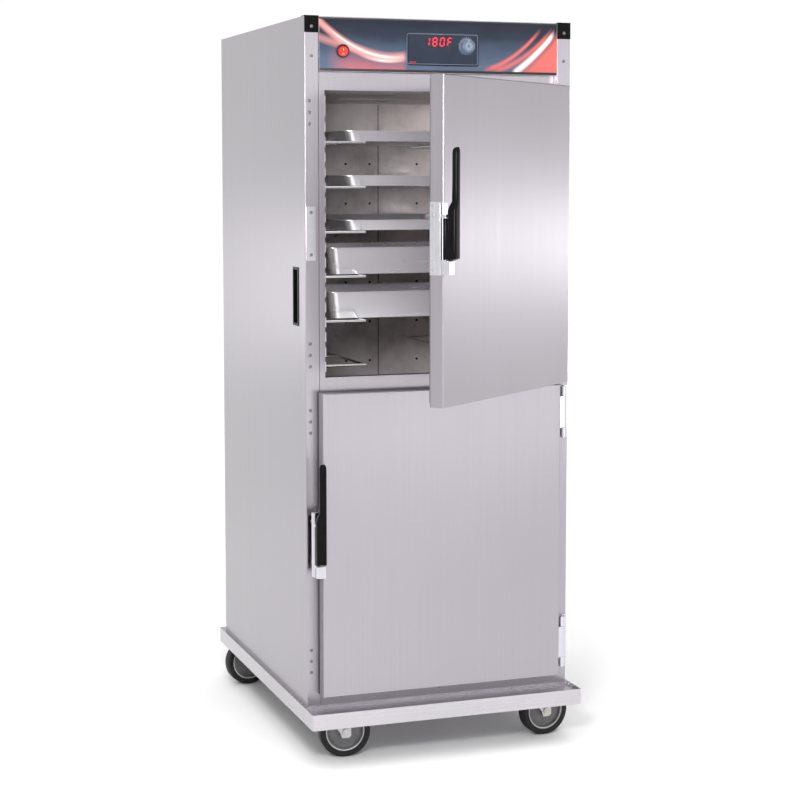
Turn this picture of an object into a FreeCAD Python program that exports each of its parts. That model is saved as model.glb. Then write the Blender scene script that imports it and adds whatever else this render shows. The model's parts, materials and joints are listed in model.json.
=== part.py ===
"""Food holding cabinet: an insulated mobile cabinet with two half doors, as a parametric document.

Millimetres. +Z is up and the front faces -Y. The origin is on the floor, under the centre of the body.
"""

import FreeCAD, Part
import os
import re

import Sketcher
from FreeCAD import Placement, Rotation, Vector

doc = FreeCAD.newDocument("holding_cabinet")
sheet = doc.addObject("Spreadsheet::Sheet", "dims")

# The driving dimensions. Every size that can be set by itself has one row.
SIZES = {
    # body
    "body_width": 677,
    "body_depth": 797,
    "body_height": 1639,
    "skin": 1.5,
    "liner_skin": 1.2,
    "side_wall": 48.5,
    "back_wall": 52,
    "fit_gap": 0.5,
    "touch_gap": 0.3,
    # transport base
    "skirt_below_chassis": 58,
    "skirt_height": 38,
    "skirt_gauge": 2.5,
    "side_overhang": 9,
    "front_overhang": 77,
    "back_overhang": 36,
    "trough_recess": 6,
    "trough_gauge": 1.5,
    "chassis_gauge": 3.5,
    # door frame
    "post_width": 34.5,
    "post_depth": 26,
    "sill_height": 32,
    "header_height": 25,
    "console_height": 146,
    "mullion_above": 34,
    "mullion_below": 32,
    # doors
    "door_left_inset": 29.7,
    "door_right_inset": 36,
    "door_depth": 34,
    "door_skin": 1.2,
    "door_edge_radius": 2.5,
    "gasket_depth": 6,
    "gasket_width": 14,
    "gasket_inset": 8,
    "lower_door_height": 730,
    "sill_lap": 4,
    "header_lap": 18,
    "door_gap": 6,
    "upper_door_rest": 39.2,
    # hinges
    "pin_inset": 20,
    "pin_forward": 20,
    "pin_radius": 3.5,
    "pin_clearance": 0.05,
    "knuckle_radius": 8.5,
    "knuckle_end": 24,
    "hinge_length": 126,
    "hinge_from_top": 70,
    "hinge_from_bottom": 82,
    "leaf_gauge": 2.5,
    # latches
    "latch_height": 153,
    "latch_raise": 8,
    "latch_width": 27,
    "latch_case_depth": 19,
    "latch_plate_gauge": 3,
    "latch_front": 9,
    "latch_foot_height": 27,
    "latch_foot_depth": 28,
    "grip_from_edge": 4,
    "grip_height": 244,
    "grip_width": 24,
    "grip_neck_width": 16.5,
    "grip_depth": 21,
    "grip_neck_depth": 15,
    "grip_reach": 45,
    "latch_pivot_inset": 7,
    "latch_pivot_radius": 3,
    "latch_barrel_radius": 5.5,
    "latch_barrel_length": 90,
    "strike_width": 22,
    "strike_height": 127,
    "strike_gauge": 2.5,
    # control console
    "console_gap": 19,
    "console_setback": 20,
    "overlay_height": 114,
    "overlay_gauge": 1,
    "overlay_margin": 6,
    "bezel_width": 181,
    "bezel_height": 78,
    "bezel_depth": 4,
    "bezel_centre_x": 6,
    "bezel_below_top": 70.5,
    "window_width": 66,
    "window_height": 30,
    "window_x": -6,
    "window_below_top": 53,
    "knob_radius": 20,
    "knob_depth": 16,
    "knob_x": 64.5,
    "knob_below_top": 62.5,
    "knob_shaft_radius": 4,
    "switch_radius": 16,
    "rocker_radius": 11,
    "rocker_height": 9,
    "rocker_barrel_radius": 3,
    "rocker_barrel_length": 14,
    "switch_from_left": 93,
    "switch_below_top": 79.5,
    "rocker_tilt": 8,
    "cap_height": 38,
    "cap_gauge": 1.5,
    # side hand grips
    "handhold_width": 39,
    "handhold_height": 133,
    "handhold_from_front": 59,
    "handhold_above_base": 915,
    "handhold_depth": 20,
    "handhold_flange": 5,
    # inside the cavity
    "upright_width": 26,
    "upright_depth": 11,
    "upright_front": 2,
    "upright_back": 60,
    "slot_pitch": 35.56,
    "slot_height": 12,
    "slot_depth": 5,
    "level_pitch": 106.7,
    "top_level_drop": 120,
    "wire_radius": 3,
    "slide_reach": 104,
    "slide_front": 20,
    "slide_back_gap": 19,
    "back_seam_x": 101,
    "seam_gap": 1,
    "vent_radius": 4,
    # food pans
    "sheet_pan_width": 457,
    "sheet_pan_length": 660,
    "sheet_pan_height": 25,
    "steam_pan_width": 530,
    "steam_pan_length": 325,
    "steam_pan_height": 65,
    "pan_gauge": 1.6,
    "pan_slope": 10,
    "pan_rim": 12,
    "pan_corner": 22,
    # air system
    "fan_radius": 70,
    "fan_height": 26,
    "fan_from_back": 190,
    "motor_radius": 42,
    "motor_height": 66,
    "shaft_radius": 4,
    "heater_radius": 95,
    "heater_tube": 4,
    "duct_clear": 12,
    "cover_gauge": 2,
    "fan_blades": 12,
    "blade_length": 24,
    "top_insulation": 32,
    # casters
    "wheel_radius": 62.5,
    "wheel_width": 32,
    "tyre_thickness": 14,
    "caster_trail": 28,
    "caster_side_gap": 11.5,
    "caster_plate_clear": 1,
    "caster_from_back": 60,
    "axle_radius": 5,
    "fork_gauge": 3,
    "fork_gap": 2,
    "crown_radius": 27,
    "crown_clear": 4,
    "crown_height": 8,
    "race_height": 16.5,
    "caster_plate_width": 76,
    "caster_plate_depth": 52,
    "caster_plate_gauge": 4,
    "bolt_spacing_x": 58,
    "bolt_spacing_y": 34,
    "bolt_head_radius": 6.4,
    "bolt_head_height": 5,
    "screw_radius": 4,
    "screw_height": 1.8,
}
for row, (word, size) in enumerate(SIZES.items(), start=1):
    sheet.set(f"A{row}", str(size))
    sheet.setAlias(f"A{row}", word)
doc.recompute()

# Places worked out from the driving dimensions.
PLACES = {
    "left": "-body_width / 2",
    "right": "body_width / 2",
    "front": "-body_depth / 2",
    "back": "body_depth / 2",
    "race_bottom": "2 * wheel_radius + crown_clear + crown_height + fit_gap",
    "chassis_height": "race_bottom + race_height + caster_plate_gauge",
    "skirt_bottom": "chassis_height - skirt_below_chassis",
    "base_top": "skirt_bottom + skirt_height",
    "body_top": "base_top + body_height",
    "sill_top": "base_top + sill_height",
    "console_bottom": "body_top - console_height",
    "opening_top": "console_bottom - header_height",
    "chassis_top": "chassis_height + chassis_gauge",
    "cavity_left": "left + side_wall",
    "cavity_right": "right - side_wall",
    "cavity_back": "back - back_wall",
    "floor_top": "sill_top - fit_gap",
    "top_level": "opening_top - top_level_drop",
    "slide_length": "cavity_back - slide_back_gap - front - slide_front - post_depth",
    "handhold_bottom": "base_top + handhold_above_base",
    "switch_x": "left + switch_from_left",
    "lower_door_bottom": "sill_top - sill_lap",
    "lower_door_top": "lower_door_bottom + lower_door_height",
    "upper_door_bottom": "lower_door_top + door_gap",
    "upper_door_top": "opening_top + header_lap",
    "caster_front": "front + skin + fit_gap + skirt_gauge + caster_plate_clear + caster_plate_depth / 2",
    "pin_x": "right - pin_inset",
    "pin_y": "front - pin_forward",
    # inside a door, measured from its hinge pin with the door shut
    "door_right": "pin_inset - door_right_inset",
    "door_left": "door_left_inset - body_width + pin_inset",
    "door_back": "pin_forward - gasket_depth",
    "door_front": "door_back - door_depth",
    "latch_left": "door_left - latch_width",
    "pivot_x": "latch_left + latch_pivot_inset",
    "pivot_y": "door_front - latch_front - latch_barrel_radius - 1.5",
    "overlay_top": "body_top - overlay_margin",
    "overlay_face": "front - overlay_gauge - fit_gap",
    "console_face": "front - fit_gap",
    "fan_y": "cavity_back - fan_from_back",
    "insulation_top": "opening_top + liner_skin + top_insulation",
    "duct_radius": "heater_radius + duct_clear",
}


def formula(text):
    """The text as a FreeCAD expression, with each named place and size spelled out."""

    def spell(match):
        word = match.group(0)
        if word in PLACES:
            return "(" + formula(PLACES[word]) + ")"
        return "dims." + word if word in SIZES else word

    return re.sub(r"[A-Za-z_][A-Za-z_0-9]*", spell, str(text))


def number(text):
    """The present value of a formula, for counts and loops."""
    return float(sheet.evalExpression(formula(text)))


def bind(feature, **sizes):
    for prop, text in sizes.items():
        feature.setExpression(prop, formula(text))


def place(feature, x="0", y="0", z="0", turn=None):
    """Bind a feature's Placement: its base point, and a turn about Z in degrees."""
    for axis, text in zip("xyz", (x, y, z)):
        feature.setExpression(f"Placement.Base.{axis}", formula(text))
    if turn is not None:
        feature.setExpression("Placement.Rotation.Angle", formula(turn))
    return feature


def box(name, x, y, z):
    """A block between two places on each axis."""
    block = doc.addObject("Part::Box", name)
    for prop, (low, high) in zip(("Length", "Width", "Height"), (x, y, z)):
        block.setExpression(prop, formula(f"({high}) - ({low})"))
    return place(block, x[0], y[0], z[0])


ALONG = {
    "x": Rotation(Vector(0, 1, 0), 90),
    "y": Rotation(Vector(1, 0, 0), -90),
    "z": Rotation(),
}


def rod(name, radius, start, length, axis="z"):
    """A cylinder from a start point along one axis."""
    cylinder = doc.addObject("Part::Cylinder", name)
    bind(cylinder, Radius=radius, Height=length)
    cylinder.Placement = Placement(Vector(), ALONG[axis])
    return place(cylinder, *start)


def fuse(name, *parts):
    joined = doc.addObject("Part::MultiFuse", name)
    joined.Shapes = list(parts)
    joined.Refine = True
    return joined


def group(name, *parts):
    bundle = doc.addObject("Part::Compound", name)
    bundle.Links = list(parts)
    return bundle


def cut(name, base, *tools):
    result = doc.addObject("Part::Cut", name)
    result.Base = base
    result.Tool = tools[0] if len(tools) == 1 else group(name + "_tools", *tools)
    return result


def copy(name, source, x="0", y="0", z="0", turn=None):
    """A link to a piece, moved from where the piece is drawn."""
    link = doc.addObject("App::Link", name)
    link.LinkedObject = source
    link.LinkTransform = True
    return place(link, x, y, z, turn)


def mirror(name, source, normal=Vector(1, 0, 0)):
    """The same piece reflected through the middle of the cabinet."""
    twin = doc.addObject("Part::Mirroring", name)
    twin.Source = source
    twin.Normal = normal
    return twin


def soften(name, base, radius, wanted):
    """Round the edges of a piece that a test picks out."""
    doc.recompute()
    rounded = doc.addObject("Part::Fillet", name)
    rounded.Base = base
    size = number(radius)
    picked = [n for n, edge in enumerate(base.Shape.Edges, start=1) if wanted(edge)]
    rounded.Edges = [(n, size, size) for n in picked]
    return rounded


def runs_along(edge, axis):
    """Whether an edge is straight and points along a unit vector."""
    if edge.Curve.TypeId != "Part::GeomLine":
        return False
    return abs(abs(edge.Curve.Direction.dot(axis)) - 1) < 1e-6


def outline(body, role, name, corners):
    """A closed sketch with straight sides on one origin plane, every corner bound to formulas."""
    plane = next(f for f in body.Origin.OriginFeatures if f.Role == role)
    sketch = body.newObject("Sketcher::SketchObject", name)
    sketch.AttachmentSupport = [(plane, "")]
    sketch.MapMode = "FlatFace"
    points = [Vector(number(u), number(v), 0) for u, v in corners]
    last = len(points) - 1
    for n, point in enumerate(points):
        sketch.addGeometry(Part.LineSegment(point, points[n + 1 if n < last else 0]), False)
    for n in range(len(points)):
        after = n + 1 if n < last else 0
        sketch.addConstraint(Sketcher.Constraint("Coincident", n, 2, after, 1))
    for n, (u, v) in enumerate(corners):
        for kind, text, size in (("DistanceX", u, points[n].x), ("DistanceY", v, points[n].y)):
            index = sketch.addConstraint(Sketcher.Constraint(kind, -1, 1, n, 1, size))
            sketch.setExpression(f"Constraints[{index}]", formula(text))
    return sketch


NODES = []


def node(name, feature):
    """Give a finished piece its own name."""
    feature.Label = name
    NODES.append(feature)
    return feature


# ---------------------------------------------------------------- transport base
def transport_base():
    x0, x1 = "left - side_overhang", "right + side_overhang"
    y0, y1 = "front - front_overhang", "back + back_overhang"
    inner_x = (f"{x0} + skirt_gauge", f"{x1} - skirt_gauge")
    inner_y = (f"{y0} + skirt_gauge", f"{y1} - skirt_gauge")
    block = box("skirt_block", (x0, x1), (y0, y1), ("skirt_bottom", "base_top"))
    rounded = soften("skirt_rounded", block, "4", lambda e: runs_along(e, Vector(0, 0, 1)))
    hollow = box("skirt_hollow", inner_x, inner_y, ("skirt_bottom - 1", "base_top + 1"))
    skirt = cut("skirt", rounded, hollow)
    shelf = ("base_top - trough_recess - trough_gauge", "base_top - trough_recess")
    trough = box("trough", inner_x, (inner_y[0], "front + skirt_gauge"), shelf)
    riser = box("riser", inner_x, ("front", "front + skirt_gauge"), (shelf[0], "base_top"))
    tread = ("base_top - skirt_gauge", "base_top")
    left_ledge = box("left_ledge", (inner_x[0], "left + 30"), ("front", inner_y[1]), tread)
    right_ledge = box("right_ledge", ("right - 30", inner_x[1]), ("front", inner_y[1]), tread)
    back_ledge = box("back_ledge", inner_x, ("back - 30", inner_y[1]), tread)
    parts = [skirt, trough, riser, left_ledge, right_ledge, back_ledge, chassis_pan()]
    node("base_frame", fuse("base_frame_body", *parts))


def chassis_pan():
    """The upturned pan that carries the casters, notched round the corner posts."""
    x = ("left + skin + fit_gap", "right - skin - fit_gap")
    y = ("front + skin + fit_gap", "back - skin - fit_gap")
    block = box("chassis_block", x, y, ("base_top - skirt_gauge", "chassis_top"))
    inner_x = (f"{x[0]} + skirt_gauge", f"{x[1]} - skirt_gauge")
    inner_y = (f"{y[0]} + skirt_gauge", f"{y[1]} - skirt_gauge")
    hollow = box("chassis_hollow", inner_x, inner_y, ("skirt_bottom", "chassis_height"))
    reach = ("front - 1", "front + post_depth + fit_gap")
    tall = ("base_top", "chassis_top + 1")
    left_notch = box("chassis_notch_left", ("left - 1", "left + post_width + fit_gap"), reach, tall)
    right_notch = box("chassis_notch_right", ("right - post_width - fit_gap", "right + 1"), reach, tall)
    return cut("chassis_pan_notched", cut("chassis_pan_hollow", block, hollow), left_notch, right_notch)


# ---------------------------------------------------------------- shell and door frame
def outer_panels():
    tall = ("base_top", "body_top - skin")
    y = ("front + post_depth", "back")
    sheet_left = box("side_sheet_left", ("left", "left + skin"), y, tall)
    hold_y = ("front + handhold_from_front", "front + handhold_from_front + handhold_width")
    hold_z = ("handhold_bottom", "handhold_bottom + handhold_height")
    window = box("handhold_window", ("left - 1", "left + skin + 1"), hold_y, hold_z)
    left = node("side_panel_left", cut("side_panel_left_cut", sheet_left, window))
    node("side_panel_right", mirror("side_panel_right_mirror", left))
    inside_x = ("left + skin", "right - skin")
    rear = box("back_sheet", inside_x, ("back - skin", "back"), tall)
    inlet_start = ("left + 110", "back - skin - 1", "base_top + 70")
    inlet_hole = rod("inlet_hole", "22", inlet_start, "skin + 2", "y")
    node("back_panel", cut("back_panel_cut", rear, inlet_hole))
    top_y = ("front + skin", "back")
    lid = box("top_sheet", ("left", "right"), top_y, ("body_top - skin", "body_top"))
    corner_y = ("front - 1", "front + post_depth")
    corner_z = ("body_top - skin - 1", "body_top + 1")
    left_notch = box("top_notch_left", ("left - 1", "left + post_width"), corner_y, corner_z)
    right_notch = box("top_notch_right", ("right - post_width", "right + 1"), corner_y, corner_z)
    node("top_panel", cut("top_panel_cut", lid, left_notch, right_notch))


def door_frame():
    y = ("front", "front + post_depth")
    post = box("post_block", ("left", "left + post_width"), y, ("base_top", "body_top"))
    rounded = soften(
        "post_rounded",
        post,
        "1.5",
        lambda e: runs_along(e, Vector(0, 0, 1)) and e.CenterOfMass.y < number("front + 1"),
    )
    other = mirror("post_mirror", rounded)
    node("corner_posts", group("corner_posts_pair", rounded, other))
    x = ("left + post_width", "right - post_width")
    sill_face = box("sill_face", x, ("front", "front + skin"), ("base_top", "sill_top"))
    sill_ledge = box("sill_ledge", x, ("front + skin", y[1]), ("chassis_top + fit_gap", "sill_top"))
    sill = fuse("sill", sill_face, sill_ledge)
    header = box("header", x, y, ("opening_top", "console_bottom"))
    bar_z = ("lower_door_top - mullion_below", "lower_door_top + mullion_above")
    mullion = box("mullion", ("cavity_left", "cavity_right"), y, bar_z)
    jamb_x = ("left + post_width", "cavity_left")
    jamb = box("jamb", jamb_x, y, ("sill_top", "opening_top"))
    jamb_right = mirror("jamb_mirror", jamb)
    node("front_rails", group("front_rails_set", sill, header, mullion, jamb, jamb_right))


# ---------------------------------------------------------------- liner and insulation
def liner():
    y = ("front + post_depth", "cavity_back")
    z = ("floor_top", "opening_top")
    side = box("liner_side", ("cavity_left - liner_skin", "cavity_left"), y, z)
    node("liner_sides", group("liner_sides_pair", side, mirror("liner_side_mirror", side)))
    back_y = ("cavity_back", "cavity_back + liner_skin")
    seam = ("back_seam_x - seam_gap / 2", "back_seam_x + seam_gap / 2")
    wide = box("liner_back_wide", ("cavity_left - liner_skin", seam[0]), back_y, z)
    holes = []
    for column in range(2):
        for row in range(10):
            hole_x = f"cavity_left + 150 + {column * 110}"
            spot = (hole_x, "cavity_back - 1", f"sill_top + 90 + {row * 140}")
            holes.append(rod(f"vent_{column}_{row}", "vent_radius", spot, "liner_skin + 2", "y"))
    perforated = cut("liner_back_perforated", wide, *holes)
    narrow = box("liner_back_narrow", (seam[1], "cavity_right + liner_skin"), back_y, z)
    node("liner_back", group("liner_back_pair", perforated, narrow))
    x = ("cavity_left - liner_skin", "cavity_right + liner_skin")
    deep = ("front + post_depth", "cavity_back + liner_skin")
    roof = box("ceiling_sheet", x, deep, ("opening_top", "opening_top + liner_skin"))
    duct = rod("ceiling_duct", "duct_radius", ("0", "fan_y", "opening_top - 1"), "liner_skin + 2")
    node("liner_ceiling", cut("liner_ceiling_cut", roof, duct))
    floor_z = ("floor_top - liner_skin", "floor_top")
    node("liner_floor", box("floor_sheet", x, deep, floor_z))


def insulation():
    gap = "fit_gap"
    z = (f"chassis_top + {gap}", "opening_top")
    y = (f"front + post_depth + {gap}", "cavity_back")
    side_x = (f"left + skin + {gap}", f"cavity_left - liner_skin - {gap}")
    slab = box("slab_side", side_x, y, z)
    hold_y = (
        "front + handhold_from_front - handhold_flange",
        "front + handhold_from_front + handhold_width + handhold_flange",
    )
    hold_z = (
        "handhold_bottom - handhold_flange",
        "handhold_bottom + handhold_height + handhold_flange",
    )
    pocket = box("slab_pocket", ("left", "left + skin + handhold_depth + fit_gap * 2"), hold_y, hold_z)
    side = cut("slab_side_cut", slab, pocket)
    back_x = (f"left + skin + {gap}", f"right - skin - {gap}")
    back_slab = box(
        "slab_back",
        back_x,
        (f"cavity_back + liner_skin + {gap}", f"back - skin - {gap}"),
        ("base_top + 130", "opening_top"),
    )
    roof_z = (f"opening_top + liner_skin + {gap}", "insulation_top")
    roof = box("slab_roof", back_x, (f"front + post_depth + {gap}", f"back - skin - {gap}"), roof_z)
    duct = rod("slab_duct", "duct_radius", ("0", "fan_y", "opening_top"), "top_insulation + 5")
    top = cut("slab_roof_cut", roof, duct)
    twin = mirror("slab_side_mirror", side)
    node("insulation_slabs", group("insulation_set", side, twin, back_slab, top))


# ---------------------------------------------------------------- uprights, slides and pans
def upright(name, x, y):
    """A slotted upright: a pad with one slot pocket repeated up its height."""
    body = doc.addObject("PartDesign::Body", name)
    half = "upright_width / 2"
    profile = outline(
        body,
        "XY_Plane",
        name + "_profile",
        [("0", f"-{half}"), ("upright_depth", f"-{half}"), ("upright_depth", half), ("0", half)],
    )
    pad = body.newObject("PartDesign::Pad", name + "_pad")
    pad.Profile = profile
    pad.setExpression("Length", formula("opening_top - sill_top - 2 * slot_height"))
    low, high = "slot_pitch", "slot_pitch + slot_height"
    notch = outline(
        body,
        "XZ_Plane",
        name + "_slot",
        [
            ("upright_depth - slot_depth", low),
            ("upright_depth + 1", low),
            ("upright_depth + 1", high),
            ("upright_depth - slot_depth", high),
        ],
    )
    pocket = body.newObject("PartDesign::Pocket", name + "_pocket")
    pocket.Profile = notch
    pocket.Midplane = True
    pocket.setExpression("Length", formula("upright_width + 2"))
    doc.recompute()
    before = pad.Shape.Volume
    assert pocket.Shape.Volume < before
    pattern = body.newObject("PartDesign::LinearPattern", name + "_pattern")
    pattern.Originals = [pocket]
    vertical = next(f for f in body.Origin.OriginFeatures if f.Role == "Z_Axis")
    pattern.Direction = (vertical, [""])
    count = "floor((opening_top - sill_top - 4 * slot_height) / slot_pitch) - 1"
    pattern.setExpression("Occurrences", formula(count))
    pattern.setExpression("Length", formula(f"slot_pitch * ({count} - 1)"))
    body.Tip = pattern
    return place(body, x, y, "sill_top + slot_height")


def uprights():
    pieces = []
    spots = {
        "front": "front + post_depth + upright_front + upright_width / 2",
        "rear": "cavity_back - upright_back",
    }
    for spot, y in spots.items():
        left = upright(f"upright_{spot}", "cavity_left", y)
        pieces += [left, mirror(f"upright_{spot}_mirror", left)]
    node("slide_uprights", group("slide_uprights_set", *pieces))


def level_heights():
    """Formulas for the height of each slide, from the top level down to the floor."""
    count = int((number("top_level - sill_top") - 40) // number("level_pitch")) + 1
    heights = [f"top_level - {n} * level_pitch" for n in range(count)]
    low, high = number("lower_door_top - mullion_below"), number("lower_door_top + mullion_above")
    return [h for h in heights if not low - 8 < number(h) < high + 8]


def wire_slides():
    """One bent wire slide, repeated at every level on the left and mirrored to the right."""
    near = "cavity_left + upright_depth + wire_radius + touch_gap"
    far = "cavity_left + upright_depth + slide_reach"
    y0 = "front + slide_front + post_depth"
    parts = []
    for label, x in (("wall", near), ("inner", far)):
        parts.append(rod(f"slide_{label}", "wire_radius", (x, y0, "0"), "slide_length", "y"))
    for n in range(4):
        y = f"{y0} + {n} * slide_length / 3"
        parts.append(rod(f"slide_cross_{n}", "wire_radius", (near, y, "0"), f"({far}) - ({near})", "x"))
        for label, x in (("wall", near), ("inner", far)):
            ball = doc.addObject("Part::Sphere", f"slide_knot_{label}_{n}")
            bind(ball, Radius="wire_radius * 1.02")
            parts.append(place(ball, x, y))
    slide = fuse("slide", *parts)
    links = [copy(f"slide_{n}", slide, z=z) for n, z in enumerate(level_heights())]
    left = node("wire_slides_left", group("wire_slides_left_set", *links))
    node("wire_slides_right", mirror("wire_slides_right_mirror", left))


def pan(name, width, length, height):
    """A tray with sloped sides, round corners and a flat rim, standing on z = 0."""
    shells = {}
    for label, inset, lift, top in (
        ("outer", "0", "0", height),
        ("inner", "pan_gauge", "pan_gauge", f"({height}) + 1"),
    ):
        wedge = doc.addObject("Part::Wedge", f"{name}_{label}")
        wide, deep = f"{width} - 2 * pan_rim - 2 * {inset}", f"{length} - 2 * pan_rim - 2 * {inset}"
        bind(wedge, Xmin="pan_slope", Xmax=f"{wide} - pan_slope", X2min="0", X2max=wide)
        bind(wedge, Zmin="pan_slope", Zmax=f"{deep} - pan_slope", Z2min="0", Z2max=deep)
        bind(wedge, Ymin="0", Ymax=f"({top}) - ({lift})")
        wedge.Placement = Placement(Vector(), Rotation(Vector(1, 0, 0), 90))
        place(wedge, f"-({wide}) / 2", f"({deep}) / 2", lift)
        shells[label] = soften(
            f"{name}_{label}_round",
            wedge,
            "pan_corner",
            lambda e: abs(e.tangentAt(e.FirstParameter).z) > 0.5,
        )
    half_x, half_y = f"({width}) / 2", f"({length}) / 2"
    rim_z = (f"({height}) - pan_gauge", height)
    plate = box(f"{name}_rim", (f"-{half_x}", half_x), (f"-{half_y}", half_y), rim_z)
    rim = soften(f"{name}_rim_round", plate, "pan_corner + 4", lambda e: runs_along(e, Vector(0, 0, 1)))
    solid = fuse(f"{name}_solid", shells["outer"], rim)
    return cut(f"{name}_body", solid, shells["inner"])


def food_pans():
    y = "front + post_depth + slide_front + 8"
    sheet_pan = pan("sheet_pan", "sheet_pan_width", "sheet_pan_length", "sheet_pan_height")
    steam_pan = pan("steam_pan", "steam_pan_width", "steam_pan_length", "steam_pan_height")
    levels = level_heights()
    trays = []
    for n, z in enumerate(levels[:3]):
        depth = f"{y} + sheet_pan_length / 2"
        trays.append(copy(f"sheet_pan_{n}", sheet_pan, y=depth, z=f"{z} + wire_radius + touch_gap"))
    deep = []
    for n, z in enumerate(levels[3:5]):
        depth = f"{y} + 20 + steam_pan_length / 2"
        deep.append(copy(f"steam_pan_{n}", steam_pan, y=depth, z=f"{z} + wire_radius + touch_gap"))
    node("sheet_pans", group("sheet_pans_set", *trays))
    node("steam_pans", group("steam_pans_set", *deep))


# ---------------------------------------------------------------- control console
def console():
    x = ("left + post_width + fit_gap", "right - post_width - fit_gap")
    face_y = ("console_face", "front + skin")
    low = "console_bottom + console_gap"
    face = box("console_face_sheet", x, face_y, (low, "body_top - skin - fit_gap"))
    tuck = box("console_tuck", x, ("console_face", "front + console_setback"), (low, f"{low} + skin"))
    drop_y = ("front + console_setback - skin", "front + console_setback")
    drop = box("console_drop", x, drop_y, ("console_bottom + fit_gap", f"{low} + skin"))
    sheet_metal = fuse("console_panel_body", face, tuck, drop)
    spot = ("switch_x", "console_face - 1", "body_top - switch_below_top")
    recess = rod("console_hole", "switch_radius - 3", spot, "skin + 3", "y")
    node("console_panel", cut("console_panel_cut", sheet_metal, recess))
    overlay_z = ("overlay_top - overlay_height", "overlay_top")
    overlay_x = (f"{x[0]} + 1", f"{x[1]} - 1")
    overlay = box("overlay_sheet", overlay_x, ("overlay_face", "console_face"), overlay_z)
    spot = ("switch_x", "overlay_face - 1", "body_top - switch_below_top")
    opening = rod("overlay_hole", "switch_radius - 3", spot, "overlay_gauge + 2", "y")
    node("console_overlay", cut("console_overlay_cut", overlay, opening))


def switch_ring():
    """The round collar that the rocker sits in."""
    spot = ("switch_x", "overlay_face - 3", "body_top - switch_below_top")
    ring = rod("switch_ring", "switch_radius", spot, "3", "y")
    bore = rod("switch_bore", "rocker_radius + 1.2", ("switch_x", "overlay_face - 4", spot[2]), "5", "y")
    return cut("switch_ring_cut", ring, bore)


def display():
    half_x, half_z = "bezel_width / 2", "bezel_height / 2"
    z = "body_top - bezel_below_top"
    y = ("overlay_face - bezel_depth", "overlay_face")
    plate = box(
        "bezel_block",
        (f"bezel_centre_x - {half_x}", f"bezel_centre_x + {half_x}"),
        y,
        (f"{z} - {half_z}", f"{z} + {half_z}"),
    )
    rounded = soften("bezel_round", plate, "6", lambda e: runs_along(e, Vector(0, 1, 0)))
    front_face = number("overlay_face - bezel_depth")
    bevel = doc.addObject("Part::Chamfer", "bezel_bevel")
    doc.recompute()
    bevel.Base = rounded
    rim = [n for n, e in enumerate(rounded.Shape.Edges, 1) if abs(e.CenterOfMass.y - front_face) < 0.01]
    bevel.Edges = [(n, 2.4, 2.4) for n in rim]
    half_w, half_h = "window_width / 2", "window_height / 2"
    window_z = "body_top - window_below_top"
    x_span = (f"window_x - {half_w}", f"window_x + {half_w}")
    z_span = (f"{window_z} - {half_h}", f"{window_z} + {half_h}")
    pocket = box("bezel_window", x_span, (f"{y[0]} - 1", f"{y[0]} + 1.5"), z_span)
    shaft_spot = ("knob_x", f"{y[0]} - 1", "body_top - knob_below_top")
    hole = rod("bezel_shaft_hole", "knob_shaft_radius + pin_clearance", shaft_spot, "bezel_depth + 2", "y")
    module = cut("display_bezel_cut", bevel, pocket, hole)
    node("console_bezels", group("console_bezels_pair", module, switch_ring()))
    node("display_window", box("display_window_pane", x_span, (f"{y[0]} + 0.3", f"{y[0]} + 1.5"), z_span))
    face = f"{y[0]} - fit_gap"
    knob_spot = ("knob_x", f"{face} - knob_depth", "body_top - knob_below_top")
    cap = rod("knob_cap", "knob_radius", knob_spot, "knob_depth", "y")
    outer_y = number(f"{face} - knob_depth")
    rounded_cap = soften("knob_cap_round", cap, "3", lambda e: abs(e.CenterOfMass.y - outer_y) < 0.01)
    shaft_start = ("knob_x", f"{face} - knob_depth / 2", "body_top - knob_below_top")
    shaft_length = "knob_depth / 2 + fit_gap + bezel_depth"
    shaft = rod("knob_shaft", "knob_shaft_radius", shaft_start, shaft_length, "y")
    node("control_knob", fuse("control_knob_body", rounded_cap, shaft))


def power_switch():
    """The rocker sits in the overlay's round opening and tilts about X on a cross barrel."""
    pivot = ("switch_x", "overlay_face + 2", "body_top - switch_below_top")
    button = doc.addObject("Part::Cylinder", "rocker_button")
    bind(button, Radius="rocker_radius", Height="rocker_height")
    button.Placement = Placement(Vector(), Rotation(Vector(1, 0, 0), 90))
    button.setExpression("Placement.Rotation.Angle", formula("90 + rocker_tilt"))
    place(button, *pivot)
    barrel_start = (f"{pivot[0]} - rocker_barrel_length / 2", pivot[1], pivot[2])
    barrel = rod("rocker_barrel", "rocker_barrel_radius", barrel_start, "rocker_barrel_length", "x")
    node("rocker_switch", fuse("rocker_body", button, barrel))


def corner_caps():
    z = ("body_top - cap_height", "body_top + cap_gauge")
    x = ("left", "left + post_width")
    face = box("cap_face", x, ("front - cap_gauge", "front"), z)
    lid = box("cap_lid", x, ("front", "front + post_depth"), ("body_top", "body_top + cap_gauge"))
    cap = fuse("cap", face, lid)
    node("corner_caps", group("corner_caps_pair", cap, mirror("cap_mirror", cap)))


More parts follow.
